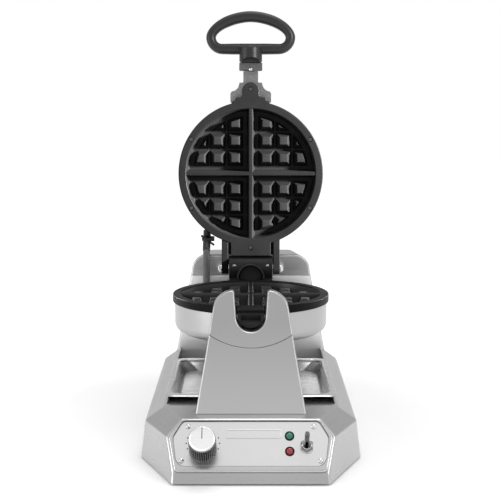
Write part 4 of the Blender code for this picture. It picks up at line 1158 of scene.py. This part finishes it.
def journal():
    """The half-round bar that rests in the post's notch, with a step cut in the front of its top."""
    bar = slab(half_round(), -0.1505, -0.1005, 0.0008, axis="Y")
    steps = [box((-0.02, -0.16, -0.0032), (0.02, -0.1215, 0.01)),
             box((-0.0115, -0.16, -0.0085), (0.0115, -0.136, 0.01))]
    piece("journal_bar", cut(bar, *steps), ROTOR, "lower_iron", BLOCK_BLACK, ["front_journal"])


# ---- handle ---------------------------------------------------------------------------------------
def handle():
    half = [(0.0262, 0.0965), (0.028, 0.0985), (0.028, 0.11), (0.0262, 0.113),
            *arc((0.0268, 0.1237), 0.0108, 262, 190, 6),
            (0.0157, 0.1235), (0.0157, 0.1248), (0.0102, 0.125), (0.0102, STRIP_END)]
    low = -FLANGE_THICK - GAP
    strip = slab(filleted(mirrored(half), 0.0008, 2), low - 0.003, low, 0.0005, 2)
    piece("handle_strap", strip, UPPER, "upper_iron", STRAP_GREY, ["handle_bracket"])

    clamp = slab(half_round(), STRIP_END + GAP, CLAMP_END, 0.0007, axis="Y")
    clamp = cut(clamp, moved(rod(0.003, -0.0012, 0.01, 28), at(0, 0.1425)),
                box((-0.01, 0.139, -0.0085), (-0.0026, 0.1417, 0.002)))
    piece("clamp_block", clamp, UPPER, "upper_iron", CLAMP_GREY, ["handle_clamp"])
    piece("clamp_bolt", pan_head(0.0026, 0.0014), UPPER @ at(0, 0.1425, -0.001), "upper_iron", BRIGHT_STEEL,
          ["clamp_screw"])
    grip()


def grip():
    """The loop: a flat near side with round corners under an arched far side, on a round boss."""
    corner = LOOP_SIDE - LOOP_NEAR
    right = arc((LOOP_HALF_WIDTH - corner, LOOP_SIDE), corner, -90, 0, 12)
    rise = LOOP_FAR - LOOP_SIDE
    arch = []
    steps = 44
    for step in range(1, steps):
        angle = math.pi * step / steps
        swell = abs(math.cos(angle)) ** 1.12
        arch.append((math.copysign(LOOP_HALF_WIDTH * swell, math.cos(angle)),
                     LOOP_SIDE + rise * math.sin(angle) ** 1.12))
    near = [((LOOP_HALF_WIDTH - corner) * share, LOOP_NEAR) for share in (-0.6, -0.2, 0.2, 0.6)]
    flat = right + arch + [(-x, y) for x, y in reversed(right)] + near
    rings = []
    count = len(flat)
    sides = 20
    for i, point in enumerate(flat):
        here = Vector(point)
        along = (Vector(flat[(i + 1) % count]) - Vector(flat[i - 1])).normalized()
        out = Vector((along.y, -along.x))
        thick = 0.0067 + 0.0009 * min(1, max(0, (0.05 - abs(here.x)) / 0.02))
        ring = []
        for k in range(sides):
            a = 2 * math.pi * k / sides
            flatwise = math.copysign(abs(math.cos(a)) ** 0.9, math.cos(a)) * thick
            deep = math.copysign(abs(math.sin(a)) ** 0.9, math.sin(a)) * 0.0078
            ring.append((here.x + out.x * flatwise, here.y + out.y * flatwise, -0.008 + deep))
        rings.append(ring)
    loop = rings_to_solid(rings, closed=True)
    bmesh.ops.smooth_vert(loop, verts=loop.verts, factor=0.5, use_axis_x=True, use_axis_y=True,
                          use_axis_z=True)
    boss = lathe(rectangle((0, CLAMP_END + GAP), (JOURNAL_R - 0.0003, BOSS_END)), 0.0025, 56, 5)
    moved(boss, at(0, 0, -0.0015) @ ALONG_Y)
    arch_cut = prism([(-0.0118, CLAMP_END - 0.002), (0.0118, CLAMP_END - 0.002),
                      *arc((0, CLAMP_END + 0.0015), 0.0118, 0, 180, 16, 0.42)], 0.0035, 0.02)
    whole = join(loop, cut(boss, arch_cut))
    piece("loop_grip", whole, UPPER, "upper_iron", PHENOLIC, ["handle_grip"], 40)


# ---- conduit --------------------------------------------------------------------------------------
def conduit():
    """The sleeve that carries the upper iron's wires past the hinge, its black end and its tie."""
    x = CONDUIT_X
    route = [(x, 0.081, -0.028), (x, 0.09, -0.028), (x, 0.099, -0.025), (x, 0.106, -0.018),
             (x, 0.1105, -0.008), (x, 0.1125, 0.004), (x, 0.113, 0.016), (x, 0.115, 0.028),
             (x, 0.1205, 0.039), (x, 0.129, 0.047), (x, 0.1375, 0.0525), (x, 0.1435, 0.057),
             (x, 0.1465, 0.0615)]
    path = smooth_path(route)
    upper_part = [p for p in path if p.z > 0.036]
    parts = [
        ("wire_sleeve", tube(path, 0.0047), SLEEVE, "sleeve", ["conduit"]),
        ("shrink_sleeve", tube(upper_part, 0.0053), PHENOLIC, "phenolic", []),
        ("cable_tie", moved(*cable_tie()), PHENOLIC, "phenolic", ["zip_tie"]),
    ]
    for name, shape, look, slot, nodes in parts:
        made = piece(name, shape, ROTOR, None, look, nodes, 40)
        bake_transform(made)


def cable_tie():
    """The tie round the sleeve with its cut tails, and its place on the sleeve."""
    lean = 55
    place = at(CONDUIT_X, 0.1361, 0.0517) @ Matrix.Rotation(math.radians(-lean), 4, "X")
    band = lathe(rectangle((0.0055, -0.0016), (0.007, 0.0016)), 0.0004, 32)
    head = rounded(box((0.0062, -0.003, -0.0026), (0.0105, 0.0025, 0.0026)), 0.0005, 2)
    tails = []
    for angle, long in ((37, 0.013), (217, 0.0095), (-10, 0.01)):
        tail = rounded(box((0, -0.0098, -0.0014), (long, -0.0074, 0.0014)), 0.0004, 2)
        upright = Matrix.Rotation(math.radians(lean), 4, "X")
        tails.append(moved(tail, upright @ Matrix.Rotation(math.radians(angle), 4, "Y")))
    return join(band, head, *tails), place


# ---- studio ---------------------------------------------------------------------------------------
def area_light(name, place, target, size, energy, only=()):
    """A rectangular light; with only, it lights just the pieces named there."""
    light = bpy.data.lights.new(name, "AREA")
    light.shape = "RECTANGLE"
    light.size, light.size_y = size
    light.energy = energy
    made = bpy.data.objects.new(name, light)
    bpy.context.scene.collection.objects.link(made)
    made.location = place
    made.rotation_euler = (Vector(target) - Vector(place)).to_track_quat("-Z", "Y").to_euler()
    if only:
        receivers = bpy.data.collections.new(f"lit_by_{name}")
        for lit in only:
            receivers.objects.link(bpy.data.objects[lit])
        made.light_linking.receiver_collection = receivers


def surroundings(scene):
    """A pale world, darker behind the machine; the camera itself sees it white."""
    world = bpy.data.worlds.new("studio")
    scene.world = world
    world.use_nodes = True
    tree = world.node_tree
    tree.nodes.clear()
    place = node(tree, "TexCoord")
    axes = node(tree, "SeparateXYZ")
    tree.links.new(place.outputs["Generated"], axes.inputs[0])
    tone = node(tree, "ValToRGB")
    stops = tone.color_ramp.elements
    for position, level in WORLD_TONES:
        stops.new(position).color = (level, level, level, 1)
    stops.remove(stops[0])
    stops.remove(stops[-1])
    tree.links.new(ranged(tree, axes.outputs["Y"], 0, 1, -1, 1), tone.inputs["Fac"])
    seen = node(tree, "LightPath")
    mix = node(tree, "Mix")
    mix.data_type = "RGBA"
    mix.inputs["B"].default_value = (1, 1, 1, 1)
    tree.links.new(seen.outputs["Is Camera Ray"], mix.inputs["Factor"])
    tree.links.new(tone.outputs["Color"], mix.inputs["A"])
    background = node(tree, "Background")
    output = node(tree, "OutputWorld")
    tree.links.new(mix.outputs["Result"], background.inputs["Color"])
    tree.links.new(background.outputs["Background"], output.inputs["Surface"])


def floor_sheet(scene):
    """The pale floor, brighter by itself and less lit with distance, so that it fades to white."""
    grid = bmesh.new()
    bmesh.ops.create_grid(grid, x_segments=1, y_segments=1, size=6)
    mesh = bpy.data.meshes.new("floor")
    grid.to_mesh(mesh)
    grid.free()
    floor = bpy.data.objects.new("floor", mesh)
    scene.collection.objects.link(floor)
    pale = material("floor_paper", roughness=0.9, emission_strength=1.0)
    tree = pale.node_tree
    place = node(tree, "TexCoord")
    reach = node(tree, "VectorMath")
    reach.operation = "LENGTH"
    tree.links.new(place.outputs["Object"], reach.inputs[0])
    far = ranged(tree, reach.outputs["Value"], 0, 1, FLOOR_NEAR, FLOOR_FAR)
    feed(tree, "Base Color", blended(tree, far, [0.96] * 3, [0.8] * 3, 0, 1))
    feed(tree, "Emission Color", blended(tree, far, [0.04] * 3, [0.4] * 3, 0, 1))
    mesh.materials.append(pale)


def studio():
    scene = bpy.context.scene
    scene.view_settings.view_transform = "Standard"
    surroundings(scene)
    floor_sheet(scene)

    area_light("key", (1.5, -1.1, 1.5), (0, 0, 0.25), (0.6, 0.6), 5)
    area_light("top", (0.2, 0.2, 2.0), (0, 0, 0.2), (1.2, 1.2), 10)
    area_light("left", (-1.7, -0.7, 0.5), (0, 0, 0.2), (0.4, 1.2), 7)
    area_light("low", (0, -1.5, 0.3), (0, 0.1, 0.08), (1.8, 0.45), 15, ("tower_body", "tray_pan"))
    area_light("shine", (1.1, -1.0, 0.8), (0, 0.16, 0.5), (0.35, 0.5), 15, ("loop_grip",))
    for side in (-1, 1):
        area_light(f"edge_{side}", (side * 0.9, 0.8, 0.55), (0, 0.03, 0.17), (0.3, 0.3), 16,
                   ("lower_waffle_plate",))
    area_light("plate_key", (1.98, -0.66, 0.8), (0, 0.16, 0.33), (0.2, 0.2), 950, ("upper_waffle_plate",))

    camera = bpy.data.objects.new("camera", bpy.data.cameras.new("camera"))
    scene.collection.objects.link(camera)
    camera.data.sensor_width = SENSOR_MM
    camera.data.lens = LENS_MM
    camera.location = CAMERA_AT
    camera.rotation_euler = (math.radians(90 - CAMERA_DOWN), 0, 0)
    scene.camera = camera


# ---- assembly -------------------------------------------------------------------------------------
base_body()
feet()
cord_bushing()
post()
tower()
tray()
control_panel()
knob()
lamps()
toggle()
lower_iron()
upper_iron()
hinge()
journal()
handle()
conduit()
studio()

bpy.context.view_layer.update()
